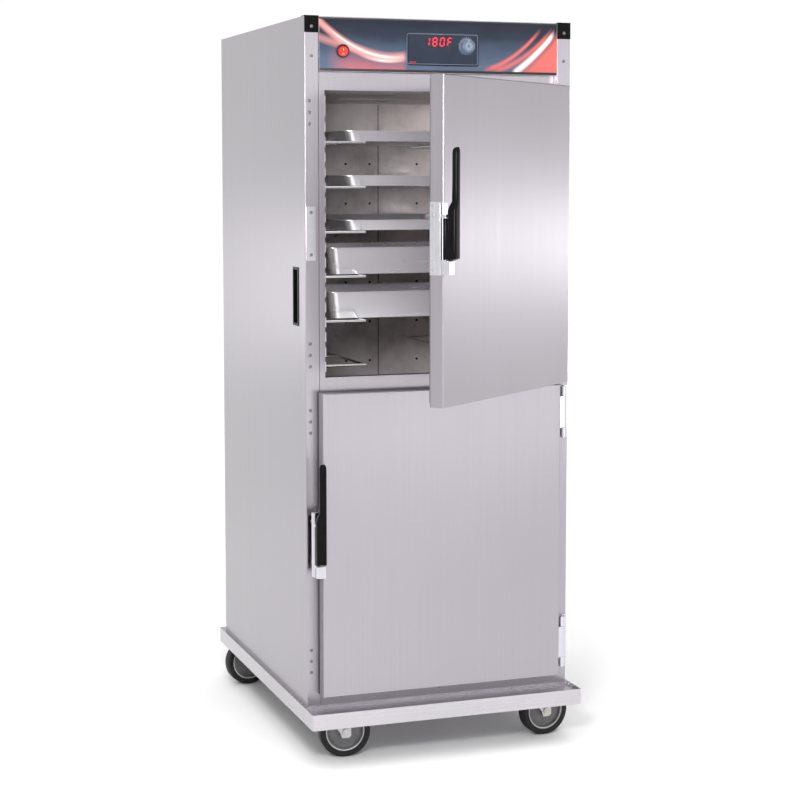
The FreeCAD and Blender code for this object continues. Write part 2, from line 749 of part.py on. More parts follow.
def side_grips():
    """A moulded cup with a flange, let into each side panel."""
    gap = "fit_gap"
    y = (f"front + handhold_from_front + {gap}", f"front + handhold_from_front + handhold_width - {gap}")
    z = (f"handhold_bottom + {gap}", f"handhold_bottom + handhold_height - {gap}")
    x = ("left", "left + skin + handhold_depth")
    cup = box("handhold_cup", x, y, z)
    flange = box(
        "handhold_rim",
        ("left - 1.5", "left"),
        (f"{y[0]} - handhold_flange + 1", f"{y[1]} + handhold_flange - 1"),
        (f"{z[0]} - handhold_flange + 1", f"{z[1]} + handhold_flange - 1"),
    )
    inner_y, inner_z = (f"{y[0]} + 2", f"{y[1]} - 2"), (f"{z[0]} + 2", f"{z[1]} - 2")
    hollow = box("handhold_hollow", ("left - 3", "left + skin + handhold_depth - 2"), inner_y, inner_z)
    grip = cut("handhold", fuse("handhold_solid", cup, flange), hollow)
    node("side_grips", group("side_grips_pair", grip, mirror("handhold_mirror", grip)))


# ---------------------------------------------------------------- doors
DOORS = {
    "upper": ("upper_door_bottom", "upper_door_top", "upper_door_rest"),
    "lower": ("lower_door_bottom", "lower_door_top", "0"),
}


def on_door(feature, turn):
    """Hang a piece that is drawn about the hinge pin on the pin's own place."""
    return place(feature, "pin_x", "pin_y", "0", turn)


def hinge_centres(bottom, top):
    return [f"{top} - hinge_from_top", f"{bottom} + hinge_from_bottom"]


def door(label, bottom, top, turn):
    """A hollow shell, its liner sheet, the foam between them and the gasket round the back."""
    x, y, z = ("door_left", "door_right"), ("door_front", "door_back - door_skin"), (bottom, top)
    block = box(f"{label}_shell_block", x, y, z)
    face_y = number("door_front")
    shell = soften(
        f"{label}_shell_round",
        block,
        "door_edge_radius",
        lambda e: abs(e.CenterOfMass.y - face_y) < 0.01,
    )
    inner_x = ("door_left + door_skin", "door_right - door_skin")
    inner_z = (f"{bottom} + door_skin", f"{top} - door_skin")
    hollow = box(f"{label}_shell_hollow", inner_x, ("door_front + door_skin", "door_back"), inner_z)
    node(f"{label}_door_shell", on_door(cut(f"{label}_shell", shell, hollow), turn))
    back = box(f"{label}_liner_sheet", x, ("door_back - door_skin", "door_back"), z)
    node(f"{label}_door_liner", on_door(group(f"{label}_liner", back), turn))
    core = box(
        f"{label}_core_block",
        (f"{inner_x[0]} + 3", f"{inner_x[1]} - 3"),
        ("door_front + door_skin + fit_gap", "door_back - door_skin - fit_gap"),
        (f"{inner_z[0]} + 3", f"{inner_z[1]} - 3"),
    )
    node(f"{label}_door_core", on_door(group(f"{label}_core", core), turn))
    lip = "gasket_inset"
    seal_y = ("door_back", "door_back + gasket_depth - touch_gap")
    ring = box(
        f"{label}_gasket_block",
        (f"door_left + {lip}", f"door_right - {lip}"),
        seal_y,
        (f"{bottom} + {lip}", f"{top} - {lip}"),
    )
    edge = "gasket_inset + gasket_width"
    gap = box(
        f"{label}_gasket_hole",
        (f"door_left + {edge}", f"door_right - ({edge})"),
        ("door_back - 1", "door_back + gasket_depth"),
        (f"{bottom} + {edge}", f"{top} - ({edge})"),
    )
    node(f"{label}_door_gasket", on_door(cut(f"{label}_gasket", ring, gap), turn))


def door_hinge_leaves(label, bottom, top, turn):
    """The middle knuckle of each hinge, joined by a leaf to the door's edge."""
    half = "(hinge_length / 2 - knuckle_end - fit_gap)"
    leaves = []
    for n, centre in enumerate(hinge_centres(bottom, top)):
        z = (f"{centre} - {half}", f"{centre} + {half}")
        barrel = rod(f"{label}_barrel_{n}", "knuckle_radius", ("0", "0", z[0]), f"2 * {half}")
        arm = box(f"{label}_arm_{n}", ("door_right", "0"), ("-knuckle_radius", "-knuckle_radius + 4"), z)
        plate_y = ("door_front + door_edge_radius", "door_back - 6")
        plate = box(f"{label}_leaf_{n}", ("door_right", "door_right + leaf_gauge"), plate_y, z)
        bore_start = ("0", "0", f"{z[0]} - 1")
        bore = rod(f"{label}_bore_{n}", "pin_radius + pin_clearance", bore_start, f"2 * {half} + 2")
        leaf = fuse(f"{label}_leaf_solid_{n}", barrel, arm, plate)
        leaves.append(cut(f"{label}_leaf_cut_{n}", leaf, bore))
    node(f"{label}_door_hinges", on_door(group(f"{label}_hinges", *leaves), turn))


def frame_hinges():
    """The end knuckles on the right-hand post, and the pins through them."""
    leaves, pins = [], []
    centres = [c for bottom, top, _ in DOORS.values() for c in hinge_centres(bottom, top)]
    for n, centre in enumerate(centres):
        half = "hinge_length / 2"
        ends = {
            "low": (f"{centre} - {half}", f"{centre} - {half} + knuckle_end"),
            "high": (f"{centre} + {half} - knuckle_end", f"{centre} + {half}"),
        }
        plate_x = ("pin_x - knuckle_radius", "right")
        plate_z = (f"{centre} - {half}", f"{centre} + {half}")
        parts = [box(f"frame_leaf_{n}", plate_x, ("front - leaf_gauge", "front"), plate_z)]
        for end, z in ends.items():
            barrel_start = ("pin_x", "pin_y", z[0])
            parts.append(rod(f"frame_barrel_{n}_{end}", "knuckle_radius", barrel_start, "knuckle_end"))
            web_x = ("pin_x - 5", "pin_x + knuckle_radius")
            parts.append(box(f"frame_web_{n}_{end}", web_x, ("pin_y", "front"), z))
        bore_start = ("pin_x", "pin_y", f"{centre} - {half} - 1")
        bore = rod(f"frame_bore_{n}", "pin_radius", bore_start, "hinge_length + 2")
        leaves.append(cut(f"frame_hinge_cut_{n}", fuse(f"frame_hinge_solid_{n}", *parts), bore))
        pin_start = ("pin_x", "pin_y", f"{centre} - {half} - 2")
        pins.append(rod(f"hinge_pin_{n}", "pin_radius", pin_start, "hinge_length + 4"))
    node("frame_hinges", group("frame_hinges_set", *leaves))
    node("hinge_pins", group("hinge_pins_set", *pins))


# ---------------------------------------------------------------- latches
def latch(label, bottom, top, turn):
    """The latch body on the door's free edge, and the pull grip that pivots in front of it."""
    centre = f"(({bottom} + {top}) / 2 + latch_raise)"
    half = "latch_height / 2"
    z = (f"{centre} - {half}", f"{centre} + {half}")
    x = ("latch_left", "door_left")
    body_y = ("door_front - latch_front", "door_front - latch_front + latch_case_depth")
    case = box(f"{label}_latch_case", x, body_y, z)
    plate_x = ("door_left - latch_plate_gauge", "door_left")
    plate_y = ("door_front + 2", "door_back - 1")
    plate = box(f"{label}_latch_plate", plate_x, plate_y, (f"{z[0]} - 3", f"{z[1]} + 3"))
    outer = number("latch_left")
    rounded = soften(
        f"{label}_latch_case_round",
        case,
        "5",
        lambda e: runs_along(e, Vector(0, 0, 1)) and abs(e.CenterOfMass.x - outer) < 0.01,
    )
    foot_x = ("latch_left + 4", "door_left - 2")
    foot_y = ("door_front - latch_foot_depth", "door_front - fit_gap")
    foot = box(f"{label}_latch_foot", foot_x, foot_y, (z[0], f"{z[0]} + latch_foot_height"))
    half_barrel = "(latch_barrel_length / 2)"
    pivot_z = (f"{centre} - {half_barrel}", f"{centre} + {half_barrel}")
    lugs = []
    lug_ends = {"low": (f"{pivot_z[0]} - 8", pivot_z[0]), "high": (pivot_z[1], f"{pivot_z[1]} + 8")}
    for end, lug_z in lug_ends.items():
        lug_x = ("pivot_x - latch_barrel_radius", "pivot_x + latch_barrel_radius")
        lugs.append(box(f"{label}_lug_{end}", lug_x, ("pivot_y", "door_front - latch_front"), lug_z))
        start = ("pivot_x", "pivot_y", lug_z[0])
        lugs.append(rod(f"{label}_lug_round_{end}", "latch_barrel_radius", start, "8"))
    pin_start = ("pivot_x", "pivot_y", f"{pivot_z[0]} - 8")
    pin = rod(f"{label}_latch_pin", "latch_pivot_radius", pin_start, "latch_barrel_length + 16")
    body = fuse(f"{label}_latch_body_solid", rounded, plate, foot, pin, *lugs)
    node(f"{label}_latch_body", on_door(body, turn))

    grip_low = f"{z[0]} + latch_foot_height + 2"
    middle = f"{grip_low} + grip_height / 2"
    grip_high = f"{grip_low} + grip_height"
    grip_right = "door_left - grip_from_edge"
    grip_left = f"{grip_right} - grip_width"
    grip_face = "door_front - grip_reach"
    wide_y = (grip_face, f"{grip_face} + grip_depth")
    neck_y = (grip_face, f"{grip_face} + grip_neck_depth")
    wide = box(f"{label}_grip_wide", (grip_left, grip_right), wide_y, (grip_low, middle))
    neck_x = (f"{grip_right} - grip_neck_width", grip_right)
    neck = box(f"{label}_grip_neck", neck_x, neck_y, (middle, grip_high))
    arm_z = (f"{pivot_z[0]} + fit_gap", f"{pivot_z[1]} - fit_gap")
    barrel_length = "latch_barrel_length - 2 * fit_gap"
    barrel_start = ("pivot_x", "pivot_y", arm_z[0])
    barrel = rod(f"{label}_grip_barrel", "latch_barrel_radius", barrel_start, barrel_length)
    arm = box(
        f"{label}_grip_arm",
        ("pivot_x - 4", "pivot_x + 4"),
        (f"{grip_face} + 4", "pivot_y + 1"),
        arm_z,
    )
    solid = fuse(f"{label}_grip_solid", wide, neck, arm, barrel)
    tall = soften(
        f"{label}_grip_round",
        solid,
        "3.5",
        lambda e: runs_along(e, Vector(0, 0, 1))
        and abs(e.CenterOfMass.y - number(grip_face)) < 0.01
        and e.Length > 60,
    )
    bore_start = ("pivot_x", "pivot_y", f"{arm_z[0]} - 1")
    bore_radius = "latch_pivot_radius + pin_clearance"
    bore = rod(f"{label}_grip_bore", bore_radius, bore_start, "latch_barrel_length")
    node(f"{label}_latch_handle", on_door(cut(f"{label}_grip", tall, bore), turn))


def strikes():
    plates = []
    for label, (bottom, top, _) in DOORS.items():
        z = f"({bottom} + {top}) / 2 + latch_raise"
        spans = (f"{z} - strike_height / 2", f"{z} + strike_height / 2")
        x = ("left + 3", "left + 3 + strike_width")
        plates.append(box(f"{label}_strike", x, ("front - strike_gauge", "front"), spans))
    node("door_strikes", group("door_strikes_set", *plates))


# ---------------------------------------------------------------- air system and electrics
def fan_wheel(fan_top):
    """A backing disc, a hub, an open floor ring and straight blades between them."""
    low = f"{fan_top} - fan_height"
    disc = rod("fan_disc", "fan_radius", ("0", "fan_y", f"{fan_top} - 2"), "2")
    hub = rod("fan_hub", "14", ("0", "fan_y", low), "fan_height")
    count = int(number("fan_blades"))
    blades = []
    for n in range(count):
        blade = box(f"fan_blade_{n}", ("0", "blade_length"), ("-0.8", "0.8"), ("0", "fan_height"))
        blade_pivot = group(f"fan_blade_set_{n}", blade)
        spoke = Rotation(Vector(0, 0, 1), 360 * n / count)
        reach = spoke.multVec(Vector(number("fan_radius - blade_length - 2"), 0, 0))
        blade_pivot.Placement = Placement(Vector(reach.x, reach.y, 0), spoke)
        place(blade_pivot, reach.x, f"fan_y + {reach.y}", low)
        blades.append(blade_pivot)
    floor_ring = rod("fan_ring", "fan_radius", ("0", "fan_y", low), "1.5")
    eye = rod("fan_eye", "fan_radius - blade_length - 2", ("0", "fan_y", f"{low} - 1"), "4")
    ring = cut("fan_ring_cut", floor_ring, eye)
    wheel = fuse("fan_solid", disc, hub, ring, *blades)
    bore = rod("fan_bore", "shaft_radius + pin_clearance", ("0", "fan_y", f"{low} - 1"), "fan_height + 2")
    node("fan_wheel", cut("fan_wheel_cut", wheel, bore))


def blower_motor(fan_top):
    """A motor can on the steel cover that closes the duct, with its shaft down into the fan."""
    half = "(duct_radius + 10)"
    cover_top = "insulation_top + cover_gauge"
    cover_y = (f"fan_y - {half}", f"fan_y + {half}")
    cover = box("motor_cover", (f"-{half}", half), cover_y, ("insulation_top", cover_top))
    can = rod("motor_can", "motor_radius", ("0", "fan_y", cover_top), "motor_height")
    shaft_low = f"{fan_top} - fan_height + 2"
    shaft = rod("motor_shaft", "shaft_radius", ("0", "fan_y", shaft_low), f"{cover_top} - ({shaft_low})")
    node("blower_motor", fuse("blower_motor_body", can, cover, shaft))


def heater():
    """A ring element round the fan, on two legs that hang from the cover."""
    ring_z = "opening_top + liner_skin + 12"
    coil = doc.addObject("Part::Torus", "heater_ring")
    bind(coil, Radius1="heater_radius", Radius2="heater_tube")
    place(coil, "0", "fan_y", ring_z)
    spread = "18"
    leg_y = f"fan_y - sqrt(heater_radius * heater_radius - {spread} * {spread})"
    leg_length = f"insulation_top - ({ring_z})"
    legs = []
    for n, x in enumerate((f"-{spread}", spread)):
        legs.append(rod(f"heater_leg_{n}", "heater_tube - 1", (x, leg_y, ring_z), leg_length))
    node("heater_element", fuse("heater_element_body", coil, *legs))


def fan_guard():
    """A slotted plate under the opening in the ceiling."""
    half = "(duct_radius + 10)"
    z = ("opening_top - liner_skin", "opening_top")
    plate = box("guard_plate", (f"-{half}", half), (f"fan_y - {half}", f"fan_y + {half}"), z)
    slots = []
    for n in range(-4, 5):
        slot_x = (f"{n * 14} - 4", f"{n * 14} + 4")
        slot_z = (f"{z[0]} - 1", f"{z[1]} + 1")
        slots.append(box(f"guard_slot_{n + 4}", slot_x, ("fan_y - 60", "fan_y + 60"), slot_z))
    node("fan_guard", cut("fan_guard_cut", plate, *slots))


def air_system():
    """The fan and heater sit in a duct through the ceiling, over a slotted guard."""
    fan_top = "(insulation_top - 5)"
    fan_wheel(fan_top)
    blower_motor(fan_top)
    heater()
    fan_guard()


def electrics():
    z = "body_top - bezel_below_top"
    y = "front + console_setback + 10"
    board_back = f"{y} + 1.6"
    board_x = ("bezel_centre_x - 80", "bezel_centre_x + 80")
    board = box("board", board_x, (y, board_back), (f"{z} - 34", f"{z} + 34"))
    relay_x = ("bezel_centre_x - 60", "bezel_centre_x - 32")
    relay = box("relay", relay_x, (board_back, f"{y} + 18"), (f"{z} - 20", f"{z} + 6"))
    coil_x = ("bezel_centre_x + 20", "bezel_centre_x + 58")
    transformer = box("transformer", coil_x, (board_back, f"{y} + 26"), (f"{z} - 18", f"{z} + 16"))
    node("control_board", fuse("control_board_body", board, relay, transformer))
    tip = ("cavity_left + 40", "cavity_back - 70", "opening_top - 34")
    bulb = rod("probe_bulb", "3", tip, "70 - fit_gap", "y")
    nut = rod("probe_nut", "8", (tip[0], "cavity_back - 7", tip[2]), "7 - fit_gap", "y")
    node("temperature_probe", fuse("temperature_probe_body", bulb, nut))
    spot = ("left + 110", "back", "base_top + 70")
    plate = rod("inlet_plate", "30", spot, "3", "y")
    body = rod("inlet_body", "21", (spot[0], "back - 30", spot[2]), "46", "y")
    well = rod("inlet_well", "16", (spot[0], "back - 4", spot[2]), "21", "y")
    node("power_inlet", cut("power_inlet_cut", fuse("power_inlet_solid", plate, body), well))


# ---------------------------------------------------------------- casters
CASTERS = {
    "front_left": ("left + wheel_radius + caster_side_gap", "caster_front", "355"),
    "front_right": ("right - wheel_radius - caster_side_gap", "caster_front", "6"),
    "rear_left": ("left + wheel_radius + caster_side_gap", "back - caster_from_back", "186"),
    "rear_right": ("right - wheel_radius - caster_side_gap", "back - caster_from_back", "8"),
}


def caster_fork(label):
    """Two tapered legs under a round crown, drawn about the swivel axis with the wheel towards +X."""
    body = doc.addObject("PartDesign::Body", f"fork_{label}")
    crown_z = "2 * wheel_radius + crown_clear"
    profile = outline(
        body,
        "XZ_Plane",
        f"fork_{label}_profile",
        [
            ("-crown_radius", crown_z),
            ("crown_radius + 8", crown_z),
            ("caster_trail + 13", "wheel_radius + 8"),
            ("caster_trail + 13", "wheel_radius - 9"),
            ("caster_trail + 7", "wheel_radius - 14"),
            ("caster_trail - 9", "wheel_radius - 14"),
            ("caster_trail - 14", "wheel_radius"),
            ("-crown_radius", f"{crown_z} - 14"),
        ],
    )
    pad = body.newObject("PartDesign::Pad", f"fork_{label}_pad")
    pad.Profile = profile
    pad.Midplane = True
    pad.setExpression("Length", formula("wheel_width + 2 * fork_gap + 2 * fork_gauge"))
    body.Tip = pad
    slot_y = ("-wheel_width / 2 - fork_gap", "wheel_width / 2 + fork_gap")
    slot = box(f"fork_{label}_slot", ("-200", "200"), slot_y, ("-1", f"{crown_z} - 3"))
    legs = cut(f"fork_{label}_legs", body, slot)
    crown = rod(f"fork_{label}_crown", "crown_radius", ("0", "0", f"{crown_z} - 3"), "crown_height + 3")
    axle_start = ("caster_trail", "-wheel_width / 2 - fork_gap - fork_gauge - 5", "wheel_radius")
    axle_length = "wheel_width + 2 * fork_gap + 2 * fork_gauge + 10"
    axle = rod(f"fork_{label}_axle", "axle_radius", axle_start, axle_length, "y")
    offset = "(wheel_width / 2 + fork_gap + fork_gauge)"
    nuts = []
    for end, start in (("near", f"-{offset} - 4"), ("far", offset)):
        nuts.append(rod(f"fork_{label}_nut_{end}", "9", ("caster_trail", start, "wheel_radius"), "4", "y"))
    return fuse(f"fork_{label}_body", legs, crown, axle, *nuts)


def caster_wheel(label):
    """A tyre on a dished hub, drawn about the swivel axis like the fork."""
    y = "-wheel_width / 2"
    centre = ("caster_trail", y, "wheel_radius")
    rim = "wheel_radius - tyre_thickness"
    rubber = rod(f"tyre_{label}_disc", "wheel_radius", centre, "wheel_width", "y")
    shoulder = soften(f"tyre_{label}_round", rubber, "5", lambda e: e.Curve.TypeId == "Part::GeomCircle")
    open_start = ("caster_trail", f"{y} - 1", "wheel_radius")
    opening = rod(f"tyre_{label}_opening", rim, open_start, "wheel_width + 2", "y")
    tyre = cut(f"tyre_{label}", shoulder, opening)
    disc_start = ("caster_trail", f"{y} + 3", "wheel_radius")
    hub = rod(f"hub_{label}_disc", rim, disc_start, "wheel_width - 6", "y")
    dishes = []
    for n, start in enumerate((y, "wheel_width / 2 - 9")):
        ring_start = ("caster_trail", start, "wheel_radius")
        ring = rod(f"hub_{label}_dish_{n}", f"{rim} - 6", ring_start, "9", "y")
        boss_start = ("caster_trail", f"{start} - 1", "wheel_radius")
        boss = rod(f"hub_{label}_boss_{n}", "14", boss_start, "11", "y")
        dishes.append(cut(f"hub_{label}_groove_{n}", ring, boss))
    bore = rod(f"hub_{label}_bore", "axle_radius + pin_clearance", open_start, "wheel_width + 2", "y")
    hub_body = cut(f"hub_{label}", hub, bore, *dishes)
    return group(f"wheel_{label}", tyre, hub_body)


def casters():
    plates, bolts = [], []
    plate_z = ("chassis_height - caster_plate_gauge", "chassis_height")
    for label, (x, y, turn) in CASTERS.items():
        node(f"caster_fork_{label}", place(caster_fork(label), x, y, "0", turn))
        node(f"caster_wheel_{label}", place(caster_wheel(label), x, y, "0", turn))
        half_x, half_y = "caster_plate_width / 2", "caster_plate_depth / 2"
        sheet_box = box(
            f"plate_{label}",
            (f"{x} - {half_x}", f"{x} + {half_x}"),
            (f"{y} - {half_y}", f"{y} + {half_y}"),
            plate_z,
        )
        race_length = f"{plate_z[0]} - race_bottom"
        race = rod(f"race_{label}", "crown_radius - 2", (x, y, "race_bottom"), race_length)
        plates.append(fuse(f"plate_body_{label}", sheet_box, race))
        for n, (sx, sy) in enumerate(((-1, -1), (-1, 1), (1, -1), (1, 1))):
            bolt_x = f"{x} + {sx} * bolt_spacing_x / 2"
            bolt_y = f"{y} + {sy} * bolt_spacing_y / 2"
            head_start = (bolt_x, bolt_y, f"{plate_z[0]} - bolt_head_height")
            bolts.append(rod(f"bolt_{label}_{n}", "bolt_head_radius", head_start, "bolt_head_height"))
    node("caster_plates", group("caster_plates_set", *plates))
    node("caster_bolts", group("caster_bolts_set", *bolts))


# ---------------------------------------------------------------- visible screws
def screws():
    """Low domed heads on the posts, the sill, the corner caps and the strikes."""
    head = rod("screw_head", "screw_radius", ("0", "0", "0"), "screw_height", "y")
    dome = soften(
        "screw_dome",
        head,
        "1.2",
        lambda e: e.CenterOfMass.y < 0.01 and e.Curve.TypeId == "Part::GeomCircle",
    )
    left_post, right_post = "left + post_width / 2", "right - post_width / 2"
    spots = [(x, "front", "body_top - 92") for x in (left_post, right_post)]
    for bottom, top, _ in DOORS.values():
        for centre in hinge_centres(bottom, top):
            spots += [(f"{left_post} - 6", "front", f"{centre} + {step}") for step in (-27, 0, 27)]
    spots += [(f"{side} / 2", "front", "sill_top - 13") for side in ("left * 1.5", "0", "right * 1.5")]
    cap_z = "body_top - cap_height / 2 - 5"
    spots += [(x, "front - cap_gauge", cap_z) for x in (left_post, right_post)]
    for bottom, top, _ in DOORS.values():
        for step in ("-", "+"):
            z = f"({bottom} + {top}) / 2 + latch_raise {step} (strike_height / 2 - 14)"
            spots.append(("left + 3 + strike_width / 2", "front - strike_gauge", z))
    heads = []
    for n, (x, y, z) in enumerate(spots):
        heads.append(copy(f"screw_{n}", dome, x, f"{y} - screw_height", z))
    node("panel_screws", group("panel_screws_set", *heads))


def build():
    transport_base()
    outer_panels()
    door_frame()
    liner()
    insulation()
    uprights()
    wire_slides()
    food_pans()
    console()
    display()
    power_switch()
    corner_caps()
    side_grips()
    for label, (bottom, top, turn) in DOORS.items():
        door(label, bottom, top, turn)
        door_hinge_leaves(label, bottom, top, turn)
        latch(label, bottom, top, turn)
    frame_hinges()
    strikes()
    air_system()
    electrics()
    casters()
    screws()
    doc.recompute()


def export():
    """Check every feature and piece, then write one file for each piece."""
    for feature in doc.Objects:
        state = set(feature.State) & {"Invalid", "Error"}
        assert not state, f"{feature.Name} is {sorted(state)}"
    for piece in NODES:
        assert not piece.Shape.isNull() and piece.Shape.isValid(), f"{piece.Label} has no valid shape"
        assert piece.Shape.Solids, f"{piece.Label} has no solid"
    os.makedirs("parts", exist_ok=True)
    for piece in NODES:
        piece.Shape.exportStep(f"parts/{piece.Label}.step")
    print(len(NODES), "pieces")


build()
export()
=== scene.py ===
"""The looks of the food holding cabinet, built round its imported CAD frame.

Metres, +Z up, front towards -Y.
"""

import json
import math

import bmesh
import bpy
from mathutils import Matrix, Vector


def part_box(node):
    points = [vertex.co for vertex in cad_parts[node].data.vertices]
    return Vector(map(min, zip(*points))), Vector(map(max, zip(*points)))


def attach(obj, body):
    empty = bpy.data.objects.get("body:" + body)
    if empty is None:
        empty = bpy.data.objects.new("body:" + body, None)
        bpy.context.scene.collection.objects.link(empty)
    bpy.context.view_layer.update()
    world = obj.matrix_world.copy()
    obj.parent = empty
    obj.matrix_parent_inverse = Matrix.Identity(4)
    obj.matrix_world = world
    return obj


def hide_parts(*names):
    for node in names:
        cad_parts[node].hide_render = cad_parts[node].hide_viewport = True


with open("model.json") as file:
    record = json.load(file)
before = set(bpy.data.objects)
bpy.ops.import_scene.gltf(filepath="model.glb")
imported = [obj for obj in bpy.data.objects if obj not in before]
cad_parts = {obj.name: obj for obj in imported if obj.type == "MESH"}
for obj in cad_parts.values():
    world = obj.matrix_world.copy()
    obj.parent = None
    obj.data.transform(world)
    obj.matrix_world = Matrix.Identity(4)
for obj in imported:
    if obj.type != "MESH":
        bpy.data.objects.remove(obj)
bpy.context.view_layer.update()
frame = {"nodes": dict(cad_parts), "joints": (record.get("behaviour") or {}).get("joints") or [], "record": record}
JOINTS = {joint["name"]: joint for joint in frame["joints"]}
CABINET = "cabinet"
MM = 0.001


# ---------------------------------------------------------------- camera
TYRE = 14 * MM
VIEW_TARGET = Vector((0.038, 0, 0.987))
VIEW_DISTANCE = 4.838
VIEW_YAW = math.radians(19.42)
VIEW_PITCH = math.radians(4.95)


def aim_camera():
    """A long lens from the front left, a little above the middle of the cabinet."""
    data = bpy.data.cameras.new("camera")
    data.sensor_width = 36
    data.lens = 82.8
    data.shift_y = -0.08
    data.clip_end = 100
    camera = bpy.data.objects.new("camera", data)
    bpy.context.scene.collection.objects.link(camera)
    level = math.cos(VIEW_PITCH)
    ahead = (math.sin(VIEW_YAW) * level, math.cos(VIEW_YAW) * level, -math.sin(VIEW_PITCH))
    forward = Vector(ahead)
    camera.location = VIEW_TARGET - forward * VIEW_DISTANCE
    camera.rotation_euler = (math.radians(90) - VIEW_PITCH, 0, -VIEW_YAW)
    bpy.context.scene.camera = camera


aim_camera()


# ---------------------------------------------------------------- material building
class Shader:
    """A node material with one Principled shader, built up by small steps."""

    def __init__(self, name, color=(0.5, 0.5, 0.5), metallic=0.0, roughness=0.4, **sockets):
        self.material = bpy.data.materials.new(name)
        self.material.use_nodes = True
        self.tree = self.material.node_tree
        self.main = self.tree.nodes["Principled BSDF"]
        self.main.inputs["Base Color"].default_value = (*color, 1)
        self.main.inputs["Metallic"].default_value = metallic
        self.main.inputs["Roughness"].default_value = roughness
        for socket, value in sockets.items():
            self.main.inputs[socket.replace("_", " ")].default_value = value
        self.place = self.node("ShaderNodeTexCoord").outputs["Object"]

    def node(self, kind, **values):
        node = self.tree.nodes.new(kind)
        for key, value in values.items():
            setattr(node, key, value)
        return node

    def put(self, socket, value):
        """Link an output to a socket, or set a plain value on it."""
        if hasattr(value, "is_linked"):
            self.tree.links.new(value, socket)
        else:
            socket.default_value = value

    def math(self, operation, first, second=None, third=None, clamp=False):
        node = self.node("ShaderNodeMath", operation=operation, use_clamp=clamp)
        for socket, value in zip(node.inputs, (first, second, third)):
            if value is not None:
                self.put(socket, value)
        return node.outputs[0]

    def axis(self, letter, vector=None):
        node = self.node("ShaderNodeSeparateXYZ")
        self.put(node.inputs[0], vector or self.place)
        return node.outputs[letter]

    def stretched(self, scale):
        """The object's coordinates stretched by a scale on each axis."""
        node = self.node("ShaderNodeMapping")
        self.put(node.inputs["Vector"], self.place)
        node.inputs["Scale"].default_value = scale
        return node.outputs[0]

    def noise(self, scale, detail=4.0, roughness=0.55, stretch=None, seed=0.0):
        node = self.node("ShaderNodeTexNoise", noise_dimensions="4D")
        self.put(node.inputs["Vector"], self.stretched(stretch) if stretch else self.place)
        node.inputs["W"].default_value = seed
        node.inputs["Scale"].default_value = scale
        node.inputs["Detail"].default_value = detail
        node.inputs["Roughness"].default_value = roughness
        return node.outputs["Fac"]

    def ramp(self, factor, stops):
        """A colour ramp: stops are (position, colour) with grey given as one number."""
        node = self.node("ShaderNodeValToRGB")
        self.put(node.inputs[0], factor)
        elements = node.color_ramp.elements
        while len(elements) < len(stops):
            elements.new(0.5)
        for element, (position, color) in zip(elements, stops):
            element.position = position
            tone = (color,) * 3 if isinstance(color, (int, float)) else color
            element.color = (*tone, 1)
        return node.outputs["Color"]

    def mix(self, factor, first, second):
        node = self.node("ShaderNodeMix", data_type="RGBA")
        self.put(node.inputs["Factor"], factor)
        for socket, value in ((node.inputs[6], first), (node.inputs[7], second)):
            self.put(socket, value if hasattr(value, "is_linked") else (*value, 1))
        return node.outputs[2]

    def color(self, value):
        self.put(self.main.inputs["Base Color"], value)

    def roughness(self, factor, low, high):
        """Roughness running from low to high with a factor from 0 to 1."""
        node = self.node("ShaderNodeMapRange")
        self.put(node.inputs["Value"], factor)
        node.inputs["To Min"].default_value = low
        node.inputs["To Max"].default_value = high
        self.put(self.main.inputs["Roughness"], node.outputs[0])

    def bump(self, height, distance, strength=1.0):
        node = self.node("ShaderNodeBump")
        node.inputs["Strength"].default_value = strength
        node.inputs["Distance"].default_value = distance
        self.put(node.inputs["Height"], height)
        previous = self.main.inputs["Normal"]
        if previous.is_linked:
            self.put(node.inputs["Normal"], previous.links[0].from_socket)
        self.put(previous, node.outputs[0])


def brushed(name, tone, roughness=0.3, grain="z", wear=0.06, metallic=1.0):
    """Brushed sheet metal: fine grain along one axis, cloudy sheen and a few faint wipes."""
    shader = Shader(name, tone, metallic=metallic, roughness=roughness)
    along = {"x": (2, 420, 420), "y": (420, 2, 420), "z": (420, 420, 2)}[grain]
    fine = shader.noise(1.0, 5, 0.7, stretch=along)
    coarse = shader.noise(1.0, 3, 0.6, stretch=tuple(v / 6 for v in along), seed=3)
    cloud = shader.noise(1.6, 5, 0.6, seed=7)
    shade = shader.math("MULTIPLY_ADD", fine, 0.5, shader.math("MULTIPLY", cloud, 0.5))
    dark = tuple(v * (1 - wear) for v in tone)
    light = tuple(min(1, v * (1 + wear)) for v in tone)
    shader.color(shader.ramp(shade, [(0.3, dark), (0.7, light)]))
    gloss = shader.math("MULTIPLY_ADD", coarse, 0.5, shader.math("MULTIPLY", cloud, 0.5))
    shader.roughness(gloss, roughness - 0.06, roughness + 0.08)
    shader.bump(fine, 0.00003)
    shader.bump(cloud, 0.0006, 0.25)
    return shader.material


def liner_metal(name, tone):
    """Used stainless inside the cavity: mottled, cloudy and partly matt."""
    shader = Shader(name, tone, metallic=0.5, roughness=0.36)
    blotch = shader.noise(5.5, 7, 0.68)
    stain = shader.noise(17, 6, 0.7, seed=6)
    shade = shader.math("MULTIPLY_ADD", blotch, 0.6, shader.math("MULTIPLY", stain, 0.4))
    dark = tuple(v * 0.62 for v in tone)
    light = tuple(min(1, v * 1.2) for v in tone)
    shader.color(shader.ramp(shade, [(0.36, dark), (0.5, tone), (0.66, light)]))
    shader.roughness(stain, 0.26, 0.48)
    shader.bump(stain, 0.0004, 0.5)
    return shader.material


